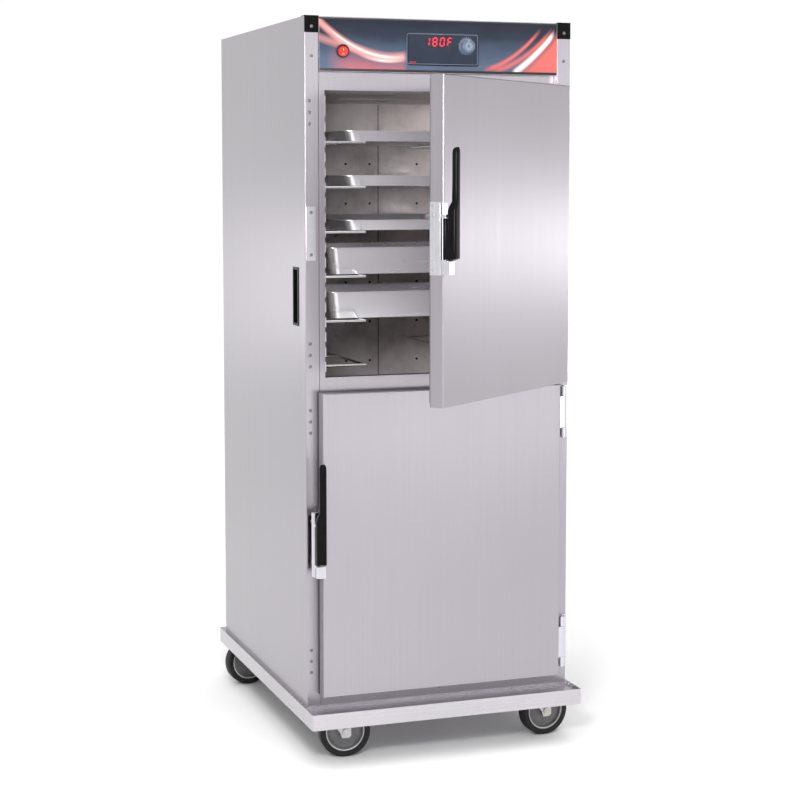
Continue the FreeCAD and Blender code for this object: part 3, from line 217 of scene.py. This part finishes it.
def chrome(name, tone=(0.62, 0.61, 0.65), roughness=0.09):
    shader = Shader(name, tone, metallic=1.0, roughness=roughness)
    haze = shader.noise(60, 4, 0.6)
    pits = shader.noise(900, 2, 0.5, seed=2)
    shader.roughness(haze, roughness * 0.6, roughness * 2.2)
    shader.color(shader.ramp(haze, [(0.3, tuple(v * 0.92 for v in tone)), (0.7, tone)]))
    shader.bump(pits, 0.00002)
    return shader.material


def moulded(name, tone, roughness=0.45, grain=0.00006, scale=1400, sheen=0.5):
    """Moulded plastic or rubber with a fine surface grain and slightly rubbed patches."""
    shader = Shader(name, tone, roughness=roughness, Specular_IOR_Level=sheen)
    grit = shader.noise(scale, 2, 0.6)
    cloud = shader.noise(22, 4, 0.6, seed=4)
    lighter = tuple(min(1, v * 1.5 + 0.003) for v in tone)
    shader.color(shader.ramp(cloud, [(0.35, tone), (0.75, lighter)]))
    shader.roughness(cloud, roughness - 0.08, roughness + 0.1)
    shader.bump(grit, grain)
    return shader.material


def cast_zinc(name, tone, roughness=0.42):
    shader = Shader(name, tone, metallic=0.9, roughness=roughness)
    bloom = shader.noise(70, 6, 0.7)
    specks = shader.noise(600, 3, 0.6, seed=5)
    shader.color(shader.ramp(bloom, [(0.3, tuple(v * 0.72 for v in tone)), (0.7, tone)]))
    shader.roughness(specks, roughness - 0.12, roughness + 0.14)
    shader.bump(specks, 0.00006)
    return shader.material


def wheel_material(name, hub, rim_radius):
    """Dark tread outside the rim radius and a grey hub inside it, measured from the axle."""
    centre, axis = hub
    shader = Shader(name, (0.05, 0.05, 0.05), roughness=0.55, Specular_IOR_Level=0.25)
    offset = shader.node("ShaderNodeVectorMath", operation="SUBTRACT")
    shader.put(offset.inputs[0], shader.place)
    offset.inputs[1].default_value = centre
    along = shader.node("ShaderNodeVectorMath", operation="DOT_PRODUCT")
    shader.put(along.inputs[0], offset.outputs[0])
    along.inputs[1].default_value = axis
    length = shader.node("ShaderNodeVectorMath", operation="LENGTH")
    shader.put(length.inputs[0], offset.outputs[0])
    squares = shader.math("MULTIPLY", length.outputs["Value"], length.outputs["Value"])
    depth = shader.math("MULTIPLY", along.outputs["Value"], along.outputs["Value"])
    radius = shader.math("SQRT", shader.math("SUBTRACT", squares, depth))
    cloud = shader.noise(45, 5, 0.65)
    tread = shader.ramp(cloud, [(0.3, (0.006, 0.006, 0.0065)), (0.75, (0.02, 0.02, 0.021))])
    hub_tone = shader.ramp(cloud, [(0.3, (0.13, 0.13, 0.135)), (0.75, (0.21, 0.21, 0.215))])
    inside = shader.math("LESS_THAN", radius, rim_radius)
    base = shader.mix(inside, tread, hub_tone)
    near_rim = shader.math("ABSOLUTE", shader.math("SUBTRACT", radius, rim_radius - 0.0022))
    lip = shader.math("LESS_THAN", near_rim, 0.0011)
    shader.color(shader.mix(lip, base, (0.62, 0.62, 0.62)))
    shader.roughness(cloud, 0.42, 0.68)
    shader.bump(shader.noise(1100, 2, 0.6, seed=3), 0.00007)
    return shader.material


def swoosh(shader, x, z, curve, width, soft):
    """How strongly a point lies on a band that follows z = a + b x + c x^2, from 0 to 1."""
    a, b, c = curve
    bend = shader.math("MULTIPLY_ADD", x, c, b)
    line = shader.math("MULTIPLY_ADD", bend, x, a)
    gap = shader.math("ABSOLUTE", shader.math("SUBTRACT", z, line))
    edge = shader.math("DIVIDE", shader.math("SUBTRACT", gap, width), soft)
    return shader.math("SUBTRACT", 1.0, edge, clamp=True)


def below(shader, x, z, curve, soft):
    """1 under the line z = a + b x + c x^2, fading to 0 above it."""
    a, b, c = curve
    line = shader.math("MULTIPLY_ADD", shader.math("MULTIPLY_ADD", x, c, b), x, a)
    return shader.math("DIVIDE", shader.math("SUBTRACT", line, z), soft, clamp=True)


def window(shader, value, low, high, soft):
    """1 between two values, fading out over soft on both sides."""
    rise = shader.math("DIVIDE", shader.math("SUBTRACT", value, low), soft, clamp=True)
    fall = shader.math("DIVIDE", shader.math("SUBTRACT", high, value), soft, clamp=True)
    return shader.math("MULTIPLY", rise, fall)


def overlay_material():
    """A printed console: dark blue fading to slate, with red and white ribbons at each end."""
    low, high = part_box("console_overlay")
    width, height = high.x - low.x, high.z - low.z
    shader = Shader("console_print", (0.02, 0.03, 0.06), roughness=0.22, Specular_IOR_Level=0.25)
    x = shader.math("DIVIDE", shader.math("SUBTRACT", shader.axis("X"), low.x), width)
    z = shader.math("DIVIDE", shader.math("SUBTRACT", shader.axis("Z"), low.z), height)
    cloud = shader.noise(14, 3, 0.5, stretch=(1, 1, 2.5))
    drift = shader.math("MULTIPLY_ADD", cloud, 0.35, shader.math("SUBTRACT", z, 0.17))
    slate_to_navy = [
        (0.0, (0.085, 0.12, 0.19)),
        (0.35, (0.05, 0.075, 0.125)),
        (0.7, (0.012, 0.02, 0.04)),
        (1.0, (0.006, 0.01, 0.022)),
    ]
    base = shader.ramp(drift, slate_to_navy)
    coral, pink, white = (0.72, 0.13, 0.11), (0.80, 0.34, 0.30), (1.0, 0.86, 0.80)
    # Each curve holds the three factors of a parabola; each ribbon has its curve, core and
    # soft edge, tone, strength, and where it begins, ends and fades across the overlay.
    left_curve = (0.95, -4.88, 8.4)
    left = window(shader, x, -1, 0.36, 0.02)
    fill = shader.math("MULTIPLY", below(shader, x, z, left_curve, 0.5), left)
    fade = shader.math("SUBTRACT", 1.0, shader.math("MULTIPLY", z, 0.9), clamp=True)
    lower_corner = window(shader, x, 0.03, 2, 0.16)
    fill = shader.math("MULTIPLY", shader.math("MULTIPLY", fill, fade), lower_corner)
    base = shader.mix(shader.math("MULTIPLY", fill, 0.95), base, coral)
    left_ribbons = (
        (left_curve, 0.03, 0.10, pink, 0.75, (-1, 0.36, 0.02)),
        ((0.985, -4.9, 8.1), 0.006, 0.035, white, 0.85, (0.02, 0.36, 0.10)),
        ((0.62, -1.6, 1.2), 0.02, 0.10, pink, 0.45, (-1, 0.26, 0.12)),
        ((0.80, -4.4, 7.7), 0.008, 0.04, white, 0.6, (0.16, 0.36, 0.10)),
    )
    bright_curve = (1.97, -8.47, 7.4)
    under_curve = below(shader, x, z, bright_curve, 0.25)
    right_fill = shader.math("MULTIPLY", under_curve, window(shader, x, 0.78, 2, 0.03))
    base = shader.mix(shader.math("MULTIPLY", right_fill, 0.95), base, coral)
    right_ribbons = (
        (bright_curve, 0.02, 0.09, white, 0.95, (0.8, 0.99, 0.02)),
        ((4.08, -12.9, 10.2), 0.012, 0.06, coral, 0.9, (0.68, 0.93, 0.04)),
        ((4.28, -12.85, 9.6), 0.014, 0.07, coral, 0.8, (0.71, 0.98, 0.04)),
    )
    for curve, thick, soft, tone, strength, (first, last, fading) in left_ribbons + right_ribbons:
        span = window(shader, x, first, last, fading)
        band = shader.math("MULTIPLY", swoosh(shader, x, z, curve, thick, soft), span)
        base = shader.mix(shader.math("MULTIPLY", band, strength), base, tone)
    shader.color(base)
    shader.roughness(cloud, 0.18, 0.28)
    shader.bump(shader.noise(1600, 2, 0.5, seed=9), 0.00001)
    return shader.material


def glowing(name, tone, strength):
    shader = Shader(name, tone, roughness=0.3)
    haze = shader.noise(300, 2, 0.5)
    shader.color(shader.ramp(haze, [(0.2, tuple(v * 0.85 for v in tone)), (0.8, tone)]))
    shader.main.inputs["Emission Color"].default_value = (*tone, 1)
    shader.main.inputs["Emission Strength"].default_value = strength
    return shader.material


def insulation_material():
    shader = Shader("mineral_wool", (0.62, 0.50, 0.24), roughness=0.95, Sheen_Weight=0.3)
    fibre = shader.noise(90, 8, 0.75, stretch=(1, 1, 6))
    shader.color(shader.ramp(fibre, [(0.3, (0.42, 0.32, 0.13)), (0.7, (0.72, 0.60, 0.33))]))
    shader.bump(fibre, 0.001)
    return shader.material


def board_material():
    shader = Shader("circuit_board", (0.02, 0.16, 0.06), roughness=0.45)
    tracks = shader.noise(160, 2, 0.4, stretch=(1, 1, 0.2))
    shader.color(shader.ramp(tracks, [(0.46, (0.012, 0.10, 0.035)), (0.5, (0.03, 0.24, 0.09))]))
    shader.bump(tracks, 0.0001)
    return shader.material


STEEL = (0.385, 0.362, 0.394)
SHEET_PAN = (0.78, 0.765, 0.79)
STEAM_PAN = (0.80, 0.78, 0.81)
PANE = (0.012, 0.010, 0.020)
MATERIALS = {
    "brushed_stainless": brushed("brushed_stainless", STEEL, 0.30),
    "liner_stainless": liner_metal("liner_stainless", (0.72, 0.665, 0.655)),
    "insulation": insulation_material(),
    "chromed_wire": chrome("chromed_wire", (0.74, 0.74, 0.75), 0.12),
    "pan_aluminium": brushed("pan_aluminium", SHEET_PAN, 0.32, "x", 0.08, metallic=0.85),
    "pan_stainless": brushed("pan_stainless", STEAM_PAN, 0.26, "x", 0.07, metallic=0.85),
    "chrome": chrome("chrome_plate"),
    "grip_black": moulded("black_composite", (0.002, 0.002, 0.0022), 0.3, sheen=0.08),
    "gasket_rubber": moulded("gasket_rubber", (0.015, 0.015, 0.016), 0.6),
    "overlay": overlay_material(),
    "display_red": moulded("display_pane", PANE, 0.15, grain=0.000005, sheen=0.25),
    "knob_silver": moulded("slate_knob", (0.10, 0.13, 0.18), 0.3),
    "rocker_red": glowing("red_rocker", (0.80, 0.03, 0.015), 0.55),
    "fastener_steel": chrome("screw_steel", (0.55, 0.55, 0.57), 0.25),
    "motor_black": moulded("motor_enamel", (0.02, 0.02, 0.022), 0.4, grain=0.00012),
    "fan_aluminium": brushed("fan_aluminium", (0.68, 0.68, 0.70), 0.35, grain="x"),
    "heater_sheath": cast_zinc("heater_sheath", (0.22, 0.19, 0.17), 0.5),
    "board_green": board_material(),
    "inlet_black": moulded("inlet_plastic", (0.012, 0.012, 0.014), 0.5),
    "zinc": cast_zinc("zinc_plate", (0.62, 0.61, 0.58)),
    "caster_tyre": moulded("caster_rubber", (0.01, 0.01, 0.0105), 0.5, sheen=0.2),
}
BASE_METAL = brushed("base_metal", (0.53, 0.51, 0.54), 0.26, grain="x", wear=0.12)


def dress(node_name, material):
    """Give every slot of a CAD node the same material."""
    for slot in frame["nodes"][node_name].material_slots:
        slot.material = material


def dress_nodes():
    for entry in frame["record"]["subparts"]:
        dress(entry["node"], MATERIALS[entry["material_slot"]])
    dress("console_bezels", moulded("console_module", (0.012, 0.019, 0.036), 0.3, sheen=0.25))
    lining = brushed("door_lining", (0.47, 0.445, 0.47), 0.36, wear=0.1)
    for label in ("upper", "lower"):
        dress(label + "_door_liner", lining)
    dress("panel_screws", chrome("screw_shadow", (0.2, 0.2, 0.21), 0.3))
    dress("base_frame", BASE_METAL)
    for name in frame["nodes"]:
        if not name.startswith("caster_wheel_"):
            continue
        roll = JOINTS["roll_" + name.removeprefix("caster_wheel_")]
        low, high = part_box(name)
        radius = (high.z - low.z) / 2
        hub = (Vector(roll["pos_m"]), Vector(roll["axis"]))
        dress(name, wheel_material(name + "_look", hub, radius - TYRE))


# ---------------------------------------------------------------- mesh building
def piece(name, bm, material, body, smooth=True):
    """Turn a bmesh into an object that rides on a body."""
    mesh = bpy.data.meshes.new(name)
    bmesh.ops.recalc_face_normals(bm, faces=bm.faces)
    bm.to_mesh(mesh)
    bm.free()
    for polygon in mesh.polygons:
        polygon.use_smooth = smooth
    if smooth:
        mesh.set_sharp_from_angle(angle=math.radians(35))
    mesh.materials.append(material)
    obj = bpy.data.objects.new(name, mesh)
    bpy.context.scene.collection.objects.link(obj)
    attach(obj, body)
    return obj


def add_box(bm, low, high, bevel=0.0, segments=2):
    """A block between two corners, with its edges rounded."""
    middle = (Vector(low) + Vector(high)) / 2
    size = Vector(high) - Vector(low)
    frame_of_box = Matrix.Translation(middle) @ Matrix.Diagonal((*size, 1))
    made = bmesh.ops.create_cube(bm, size=1, matrix=frame_of_box)
    if bevel:
        edges = {edge for vertex in made["verts"] for edge in vertex.link_edges}
        bmesh.ops.bevel(
            bm, geom=list(edges), offset=bevel, segments=segments, affect="EDGES", profile=0.5
        )


def add_rod(bm, start, end, radius, segments=32, bevel=0.0):
    """A capped cylinder between two points."""
    start, end = Vector(start), Vector(end)
    turn = (end - start).to_track_quat("Z", "Y").to_matrix().to_4x4()
    matrix = Matrix.Translation((start + end) / 2) @ turn
    made = bmesh.ops.create_cone(
        bm,
        cap_ends=True,
        segments=segments,
        radius1=radius,
        radius2=radius,
        depth=(end - start).length,
        matrix=matrix,
    )
    if bevel:
        caps = {f for v in made["verts"] for f in v.link_faces if len(f.verts) == segments}
        edges = {e for f in caps for e in f.edges}
        bmesh.ops.bevel(bm, geom=list(edges), offset=bevel, segments=2, affect="EDGES", profile=0.5)


def add_loft(bm, rings, closed_ends=True):
    """Skin a list of rings that have the same number of points."""
    loops = [[bm.verts.new(point) for point in ring] for ring in rings]
    count = len(loops[0])
    for lower, upper in zip(loops, loops[1:]):
        for n in range(count):
            after = (n + 1) % count
            bm.faces.new((lower[n], lower[after], upper[after], upper[n]))
    if closed_ends:
        bm.faces.new(loops[0])
        bm.faces.new(list(reversed(loops[-1])))


def rounded_rectangle(x0, x1, y0, y1, radius, steps=5):
    """Corner-rounded outline in XY, counter-clockwise."""
    radius = min(radius, (x1 - x0) / 2 * 0.98, (y1 - y0) / 2 * 0.98)
    points = []
    corners = (
        (x1 - radius, y1 - radius, 0),
        (x0 + radius, y1 - radius, 90),
        (x0 + radius, y0 + radius, 180),
        (x1 - radius, y0 + radius, 270),
    )
    for cx, cy, start in corners:
        for n in range(steps + 1):
            angle = math.radians(start + 90 * n / steps)
            points.append((cx + radius * math.cos(angle), cy + radius * math.sin(angle)))
    return points


# ---------------------------------------------------------------- display and knob
SEGMENTS = {
    "1": "bc",
    "8": "abcdefg",
    "0": "abcdef",
    "F": "aefg",
}


def add_digit(bm, text, left, bottom, width, height, y, thick):
    """One seven-segment figure in the plane of the display."""
    half = height / 2
    spans = {
        "a": ((0, height), (width, height)),
        "g": ((0, half), (width, half)),
        "d": ((0, 0), (width, 0)),
        "f": ((0, half), (0, height)),
        "e": ((0, 0), (0, half)),
        "b": ((width, half), (width, height)),
        "c": ((width, 0), (width, half)),
    }
    lean = 0.12
    for segment in SEGMENTS[text]:
        (x0, z0), (x1, z1) = spans[segment]
        trim = thick * 0.65
        if x0 == x1:
            u0, u1, w0, w1 = x0 - thick / 2, x1 + thick / 2, z0 + trim, z1 - trim
        else:
            u0, u1, w0, w1 = x0 + trim, x1 - trim, z0 - thick / 2, z1 + thick / 2
        corners = ((u0, w0), (u1, w0), (u1, w1), (u0, w1))
        points = [Vector((left + u + w * lean, y, bottom + w)) for u, w in corners]
        face = bm.faces.new([bm.verts.new(point) for point in points])
        made = bmesh.ops.extrude_face_region(bm, geom=[face])
        moved = [v for v in made["geom"] if isinstance(v, bmesh.types.BMVert)]
        bmesh.ops.translate(bm, vec=(0, -0.0002, 0), verts=moved)


def display_details():
    """The figures on the display, the small lamp below it and the line round the module."""
    low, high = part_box("display_window")
    red = glowing("led_red", (0.9, 0.01, 0.03), 1.6)
    figures = bmesh.new()
    height = (high.z - low.z) * 0.62
    width = height * 0.52
    step = width * 1.95
    left = low.x + (high.x - low.x - 4 * step + step - width) / 2 - 0.002
    bottom = (low.z + high.z) / 2 - height / 2
    plane = low.y - 0.1 * MM
    for n, text in enumerate("180F"):
        start = left + n * step
        add_digit(figures, text, start, bottom, width, height, plane, height * 0.13)
    piece("display_figures", figures, red, CABINET, smooth=False)

    lamp = bmesh.new()
    spot = Vector((low.x - 33 * MM, low.y, low.z - 34 * MM))
    lamp_low = spot - Vector((8, 0.8, 1.6)) * MM
    lamp_high = spot + Vector((8, 0.5, 1.6)) * MM
    add_box(lamp, lamp_low, lamp_high, 0.4 * MM)
    dim_red = glowing("lamp_red", (0.35, 0.01, 0.02), 0.5)
    piece("heat_lamp", lamp, dim_red, CABINET)

    trim = bmesh.new()
    module_low, module_high = display_module_box()
    outer = inset_outline(module_low, module_high, 3.2 * MM, 5 * MM)
    inner = inset_outline(module_low, module_high, 4.1 * MM, 4.4 * MM)
    loops = []
    for depth, ring in ((0, outer), (0.25 * MM, outer), (0.25 * MM, inner), (0, inner)):
        loops.append([Vector((u, module_low.y - depth, w)) for u, w in ring])
    add_loft(trim, loops + loops[:1], closed_ends=False)
    bmesh.ops.remove_doubles(trim, verts=trim.verts, dist=0.00001)
    pale_blue = moulded("trim_blue", (0.16, 0.19, 0.25), 0.3)
    piece("display_trim", trim, pale_blue, CABINET)


def display_module_box():
    """The two corners of the display module, whose node also holds the switch collar."""
    low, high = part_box("console_bezels")
    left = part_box("display_window")[0].x - 51.5 * MM
    return Vector((left, low.y, low.z)), high


def inset_outline(low, high, inset, radius):
    """A rounded outline in XZ, this far inside the two corners."""
    return rounded_rectangle(low.x + inset, high.x - inset, low.z + inset, high.z - inset, radius)


def control_knob():
    """A fluted knob with a recessed top, a pointer and a ring of ticks round it."""
    low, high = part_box("control_knob")
    centre = Vector(JOINTS["knob_turn"]["pos_m"])
    radius = (high.x - low.x) / 2
    outer, inner = low.y, centre.y - 0.0005
    profile = (
        (radius, inner),
        (radius, inner - 0.002),
        (radius * 0.93, inner - 0.0032),
        (radius * 0.88, inner - 0.0045),
        (radius * 0.82, outer + 0.002),
        (radius * 0.78, outer + 0.0006),
        (radius * 0.72, outer),
        (radius * 0.62, outer + 0.0005),
        (radius * 0.58, outer + 0.0016),
        (radius * 0.25, outer + 0.0019),
    )
    bm = bmesh.new()
    count = 120
    rings = []
    for n, (r, y) in enumerate(profile):
        ring = []
        for k in range(count):
            angle = 2 * math.pi * k / count
            flute = 0.0007 * math.cos(30 * angle) if 3 <= n <= 4 else 0.0
            reach = r + flute
            across, up = reach * math.cos(angle), reach * math.sin(angle)
            ring.append(Vector((centre.x + across, y, centre.z + up)))
        rings.append(ring)
    add_loft(bm, rings)
    knob = piece("knob_cap", bm, MATERIALS["knob_silver"], "knob")
    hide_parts("control_knob")

    mark = bmesh.new()
    add_box(
        mark,
        (centre.x - 0.0008, outer - 0.00003, centre.z + radius * 0.6),
        (centre.x + 0.0008, outer + 0.0012, centre.z + radius * 0.79),
        0.0002,
    )
    pale = moulded("pale_print", (0.42, 0.50, 0.60), 0.35)
    for k in range(12):
        spoke = math.radians(30 * k)
        away = Vector((math.cos(spoke), 0, math.sin(spoke)))
        start = centre + away * (radius * 0.22)
        end = centre + away * (radius * (0.5 if k % 3 else 0.56))
        start.y, end.y = outer + 1.7 * MM, outer + 1.5 * MM
        add_rod(mark, start, end, 0.6 * MM, 8)
    piece("knob_pointer", mark, pale, "knob")

    ticks = bmesh.new()
    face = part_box("console_bezels")[0].y
    for k in range(25):
        angle = math.radians(-60 + k * 300 / 24)
        spot = Vector((math.cos(angle), 0, math.sin(angle)))
        start = centre + spot * (radius * 1.06)
        end = centre + spot * (radius * (1.13 if k % 6 else 1.18))
        start.y = end.y = face + 0.0001
        add_rod(ticks, start, end, 0.0003, 6)
    piece("knob_ticks", ticks, pale, CABINET)


def rocker_mark():
    """A raised bar on one half of the rocker and a dash on the other."""
    tilt = math.radians(8)
    bm = bmesh.new()
    add_box(bm, (-0.0007, -0.0003, 0.002), (0.0007, 0.0006, 0.0065), 0.0002)
    add_box(bm, (-0.0026, -0.0003, -0.0062), (0.0026, 0.0006, -0.0048), 0.0002)
    pivot = Vector(JOINTS["rocker_tilt"]["pos_m"])
    leaning = Matrix.Translation(pivot) @ Matrix.Rotation(tilt, 4, "X")
    on_face = leaning @ Matrix.Translation((0, -9 * MM, 0))
    bmesh.ops.transform(bm, matrix=on_face, verts=bm.verts)
    pale_red = glowing("rocker_mark", (1.0, 0.5, 0.45), 0.4)
    piece("rocker_marks", bm, pale_red, "rocker")


def console_trims():
    """The black lines above and below the printed overlay."""
    low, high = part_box("console_overlay")
    bm = bmesh.new()
    add_box(bm, (low.x, low.y - 0.0006, high.z), (high.x, high.y, high.z + 0.0036), 0.0005)
    add_box(bm, (low.x, low.y - 0.0006, low.z - 0.006), (high.x, high.y, low.z), 0.0008)
    piece("console_black_lines", bm, MATERIALS["gasket_rubber"], CABINET)


# ---------------------------------------------------------------- cavity
def liner_details():
    """The back of the cavity is two sheets that meet at a seam, with small fixing holes."""
    low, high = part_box("liner_back")
    face = low.y
    centre = (low.x + high.x) / 2
    joint = centre + 95 * MM
    seam = bmesh.new()
    add_box(
        seam,
        (joint - 1.1 * MM, face - 0.3 * MM, low.z + 4 * MM),
        (joint + 1.1 * MM, face + 0.2 * MM, high.z - 4 * MM),
    )
    level = low.z + 60 * MM
    while level < high.z - 60 * MM:
        for offset in (-130, 0, 70, 210):
            spot = Vector((centre + offset * MM, face, level))
            depth = Vector((0, 0.3 * MM, 0))
            add_rod(seam, spot - depth, spot + depth, 3.6 * MM, 16)
        level += 0.11
    shadow = moulded("seam_shadow", (0.02, 0.018, 0.018), 0.7)
    piece("liner_seams", seam, shadow, CABINET)


# ---------------------------------------------------------------- doors and latches
def door_matrix(label):
    """From a door shut on its pin to where it rests, about the hinge."""
    joint = JOINTS[label + "_door_hinge"]
    pin = Vector((joint["pos_m"][0], joint["pos_m"][1], 0))
    rest = math.radians(-joint["range_deg"][0])
    return Matrix.Translation(pin) @ Matrix.Rotation(rest, 4, "Z") @ Matrix.Translation(-pin)


def latch_grip(label):
    """A black pull grip: a broad lower half, a diagonal shoulder and a slim rounded neck."""
    low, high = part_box("lower_latch_handle")
    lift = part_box(label + "_latch_handle")[0].z - low.z
    right, front = high.x, low.y
    foot, top = low.z + lift, high.z + lift
    middle = (foot + top) / 2
    wide, neck = 24 * MM, 16.5 * MM
    deep, slim = 21 * MM, 15 * MM
    stations = (
        (foot, wide * 0.94, deep * 0.9, 0.35),
        (foot + 2 * MM, wide, deep, 0.35),
        (foot + 20 * MM, wide, deep, 0.0),
        (middle - 14 * MM, wide, deep, 0.0),
        (middle - 4 * MM, (wide + neck) / 2 + 1 * MM, (deep + slim) / 2 + 1 * MM, 0.0),
        (middle + 6 * MM, neck, slim, 0.0),
        (middle + 60 * MM, neck, slim * 0.95, 0.0),
        (top - 12 * MM, neck, slim * 0.95, 0.0),
        (top - 6 * MM, neck * 0.93, slim * 0.9, 0.0),
        (top - 2 * MM, neck * 0.72, slim * 0.74, 0.0),
        (top, neck * 0.38, slim * 0.45, 0.0),
    )
    bm = bmesh.new()
    rings = []
    for z, width, depth, slant in stations:
        squeeze = (1 - width / neck) * neck / 2 if z > top - 13 * MM else 0
        x1 = right - squeeze
        y0 = front + (0.4 * MM if z > top - 3 * MM else 0)
        outline = rounded_rectangle(x1 - width, x1, y0, front + depth, 5 * MM)
        rings.append([Vector((x, y, z + slant * (front + depth - y))) for x, y in outline])
    add_loft(bm, rings)
    pull = JOINTS["lower_latch_pull"]["pos_m"]
    case_low, case_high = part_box("lower_latch_body")
    centre_z = (case_low.z + case_high.z) / 2 + lift
    half = 44.5 * MM
    pivot = Vector((pull[0], pull[1], centre_z))
    upward = Vector((0, 0, half))
    add_rod(bm, pivot - upward, pivot + upward, 5.5 * MM, 32, 0.6 * MM)
    add_box(
        bm,
        (pivot.x - 4 * MM, front + 5 * MM, centre_z - half + 1 * MM),
        (pivot.x + 4 * MM, pivot.y, centre_z + half - 1 * MM),
        1.5 * MM,
    )
    bmesh.ops.transform(bm, matrix=door_matrix(label), verts=bm.verts)
    grip = piece(label + "_grip", bm, MATERIALS["grip_black"], label + "_handle")
    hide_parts(label + "_latch_handle")


def latch_screws(label):
    """Four round heads on the mounting plate, on the door's free edge."""
    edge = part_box("lower_door_shell")[0].x - 3 * MM
    case_low, case_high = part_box("lower_latch_body")
    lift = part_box(label + "_latch_body")[0].z - case_low.z
    y = case_high.y - 8 * MM
    z0, z1 = case_low.z + lift, case_high.z + lift
    bm = bmesh.new()
    for z in (z0 + 10 * MM, z0 + 28 * MM, z1 - 28 * MM, z1 - 10 * MM):
        add_rod(bm, (edge - 1.6 * MM, y, z), (edge + 0.5 * MM, y, z), 4 * MM, 24, 0.9 * MM)
    bmesh.ops.transform(bm, matrix=door_matrix(label), verts=bm.verts)
    steel = MATERIALS["fastener_steel"]
    piece(label + "_latch_screws", bm, steel, label + "_door")


def door_seams(label):
    """Thin dark joints where the door's outer pan meets its liner, round all four edges."""
    low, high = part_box("lower_door_shell")
    shift = 0.0
    if label == "upper":
        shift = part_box("upper_door_shell")[0].z - low.z
        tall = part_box("upper_door_shell")[1].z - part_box("upper_door_shell")[0].z
    else:
        tall = high.z - low.z
    z0, z1 = low.z + shift, low.z + shift + tall
    y0, y1 = high.y - 0.5 * MM, high.y + 0.2 * MM
    bm = bmesh.new()
    out = 0.12 * MM
    add_box(bm, (low.x - out, y0, z0), (low.x + out, y1, z1))
    add_box(bm, (high.x - out, y0, z0), (high.x + out, y1, z1))
    add_box(bm, (low.x, y0, z0 - out), (high.x, y1, z0 + out))
    add_box(bm, (low.x, y0, z1 - out), (high.x, y1, z1 + out))
    bmesh.ops.transform(bm, matrix=door_matrix(label), verts=bm.verts)
    rubber = MATERIALS["gasket_rubber"]
    piece(label + "_door_seam", bm, rubber, label + "_door", smooth=False)


# ---------------------------------------------------------------- stage
def stage():
    """A wide pale floor."""
    floor_mesh = bmesh.new()
    bmesh.ops.create_grid(floor_mesh, x_segments=1, y_segments=1, size=30)
    mesh = bpy.data.meshes.new("studio_floor")
    floor_mesh.to_mesh(mesh)
    floor_mesh.free()
    shader = Shader("studio_floor", (0.9, 0.9, 0.9), roughness=0.8)
    tint = shader.noise(0.8, 3, 0.5)
    shader.color(shader.ramp(tint, [(0.3, 0.89), (0.7, 0.92)]))
    mesh.materials.append(shader.material)
    floor = bpy.data.objects.new("studio_floor", mesh)
    bpy.context.scene.collection.objects.link(floor)


def softbox(name, spot, target, size, power):
    """A rectangular lamp that lights the cabinet but isn't seen itself."""
    data = bpy.data.lights.new(name, "AREA")
    data.shape = "RECTANGLE"
    data.size, data.size_y = size
    data.energy = power
    lamp = bpy.data.objects.new(name, data)
    lamp.location = spot
    beam = Vector(target) - Vector(spot)
    lamp.rotation_euler = beam.to_track_quat("-Z", "Y").to_euler()
    lamp.visible_camera = False
    bpy.context.scene.collection.objects.link(lamp)


def studio_world():
    """A white room up to a little above the horizon, with a greyer wall and a light ceiling."""
    world = bpy.data.worlds.new("studio")
    world.use_nodes = True
    bpy.context.scene.world = world
    tree = world.node_tree
    place = tree.nodes.new("ShaderNodeTexCoord")
    split = tree.nodes.new("ShaderNodeSeparateXYZ")
    tree.links.new(place.outputs["Generated"], split.inputs[0])
    ramp = tree.nodes.new("ShaderNodeValToRGB")
    tree.links.new(split.outputs["Z"], ramp.inputs[0])
    stops = ((0.2, 1.0), (0.32, 0.5), (0.7, 0.45), (1.0, 0.9))
    elements = ramp.color_ramp.elements
    while len(elements) < len(stops):
        elements.new(0.5)
    for element, (position, tone) in zip(elements, stops):
        element.position = position
        element.color = (tone, tone, tone, 1)
    tree.links.new(ramp.outputs[0], tree.nodes["Background"].inputs["Color"])
    tree.nodes["Background"].inputs["Strength"].default_value = 1.02


def studio_light():
    """An even soft light from above, and low strips that give each panel its soft band."""
    studio_world()
    data = bpy.data.lights.new("soft_sky", "SUN")
    data.energy = 1.9
    data.angle = math.radians(70)
    sky = bpy.data.objects.new("soft_sky", data)
    sky.rotation_euler = (math.radians(12), math.radians(-8), 0)
    bpy.context.scene.collection.objects.link(sky)
    softbox("right_strip", (3.3, 0.35, 1.14), (0.2, -0.6, 1.25), (2.6, 0.3), 6.5)
    softbox("front_strip", (1.2, -3.6, 1.83), (0.0, -0.4, 1.64), (1.8, 0.16), 5)
    softbox("left_strip", (-1.7, 3.2, 0.95), (-0.35, -0.3, 1.15), (0.4, 0.6), 1.6)
    softbox("low_strip", (1.2, -3.6, 0.5), (0.0, -0.4, 0.85), (1.8, 0.3), 4)
    softbox("cavity_lamp", (-1.0, -2.4, 1.6), (-0.05, 0.3, 1.3), (0.4, 0.4), 38)


dress_nodes()
display_details()
liner_details()
control_knob()
rocker_mark()
console_trims()
for door_label in ("upper", "lower"):
    latch_grip(door_label)
    latch_screws(door_label)
    door_seams(door_label)
stage()
studio_light()

view_settings = bpy.context.scene.view_settings
view_settings.view_transform = "Standard"
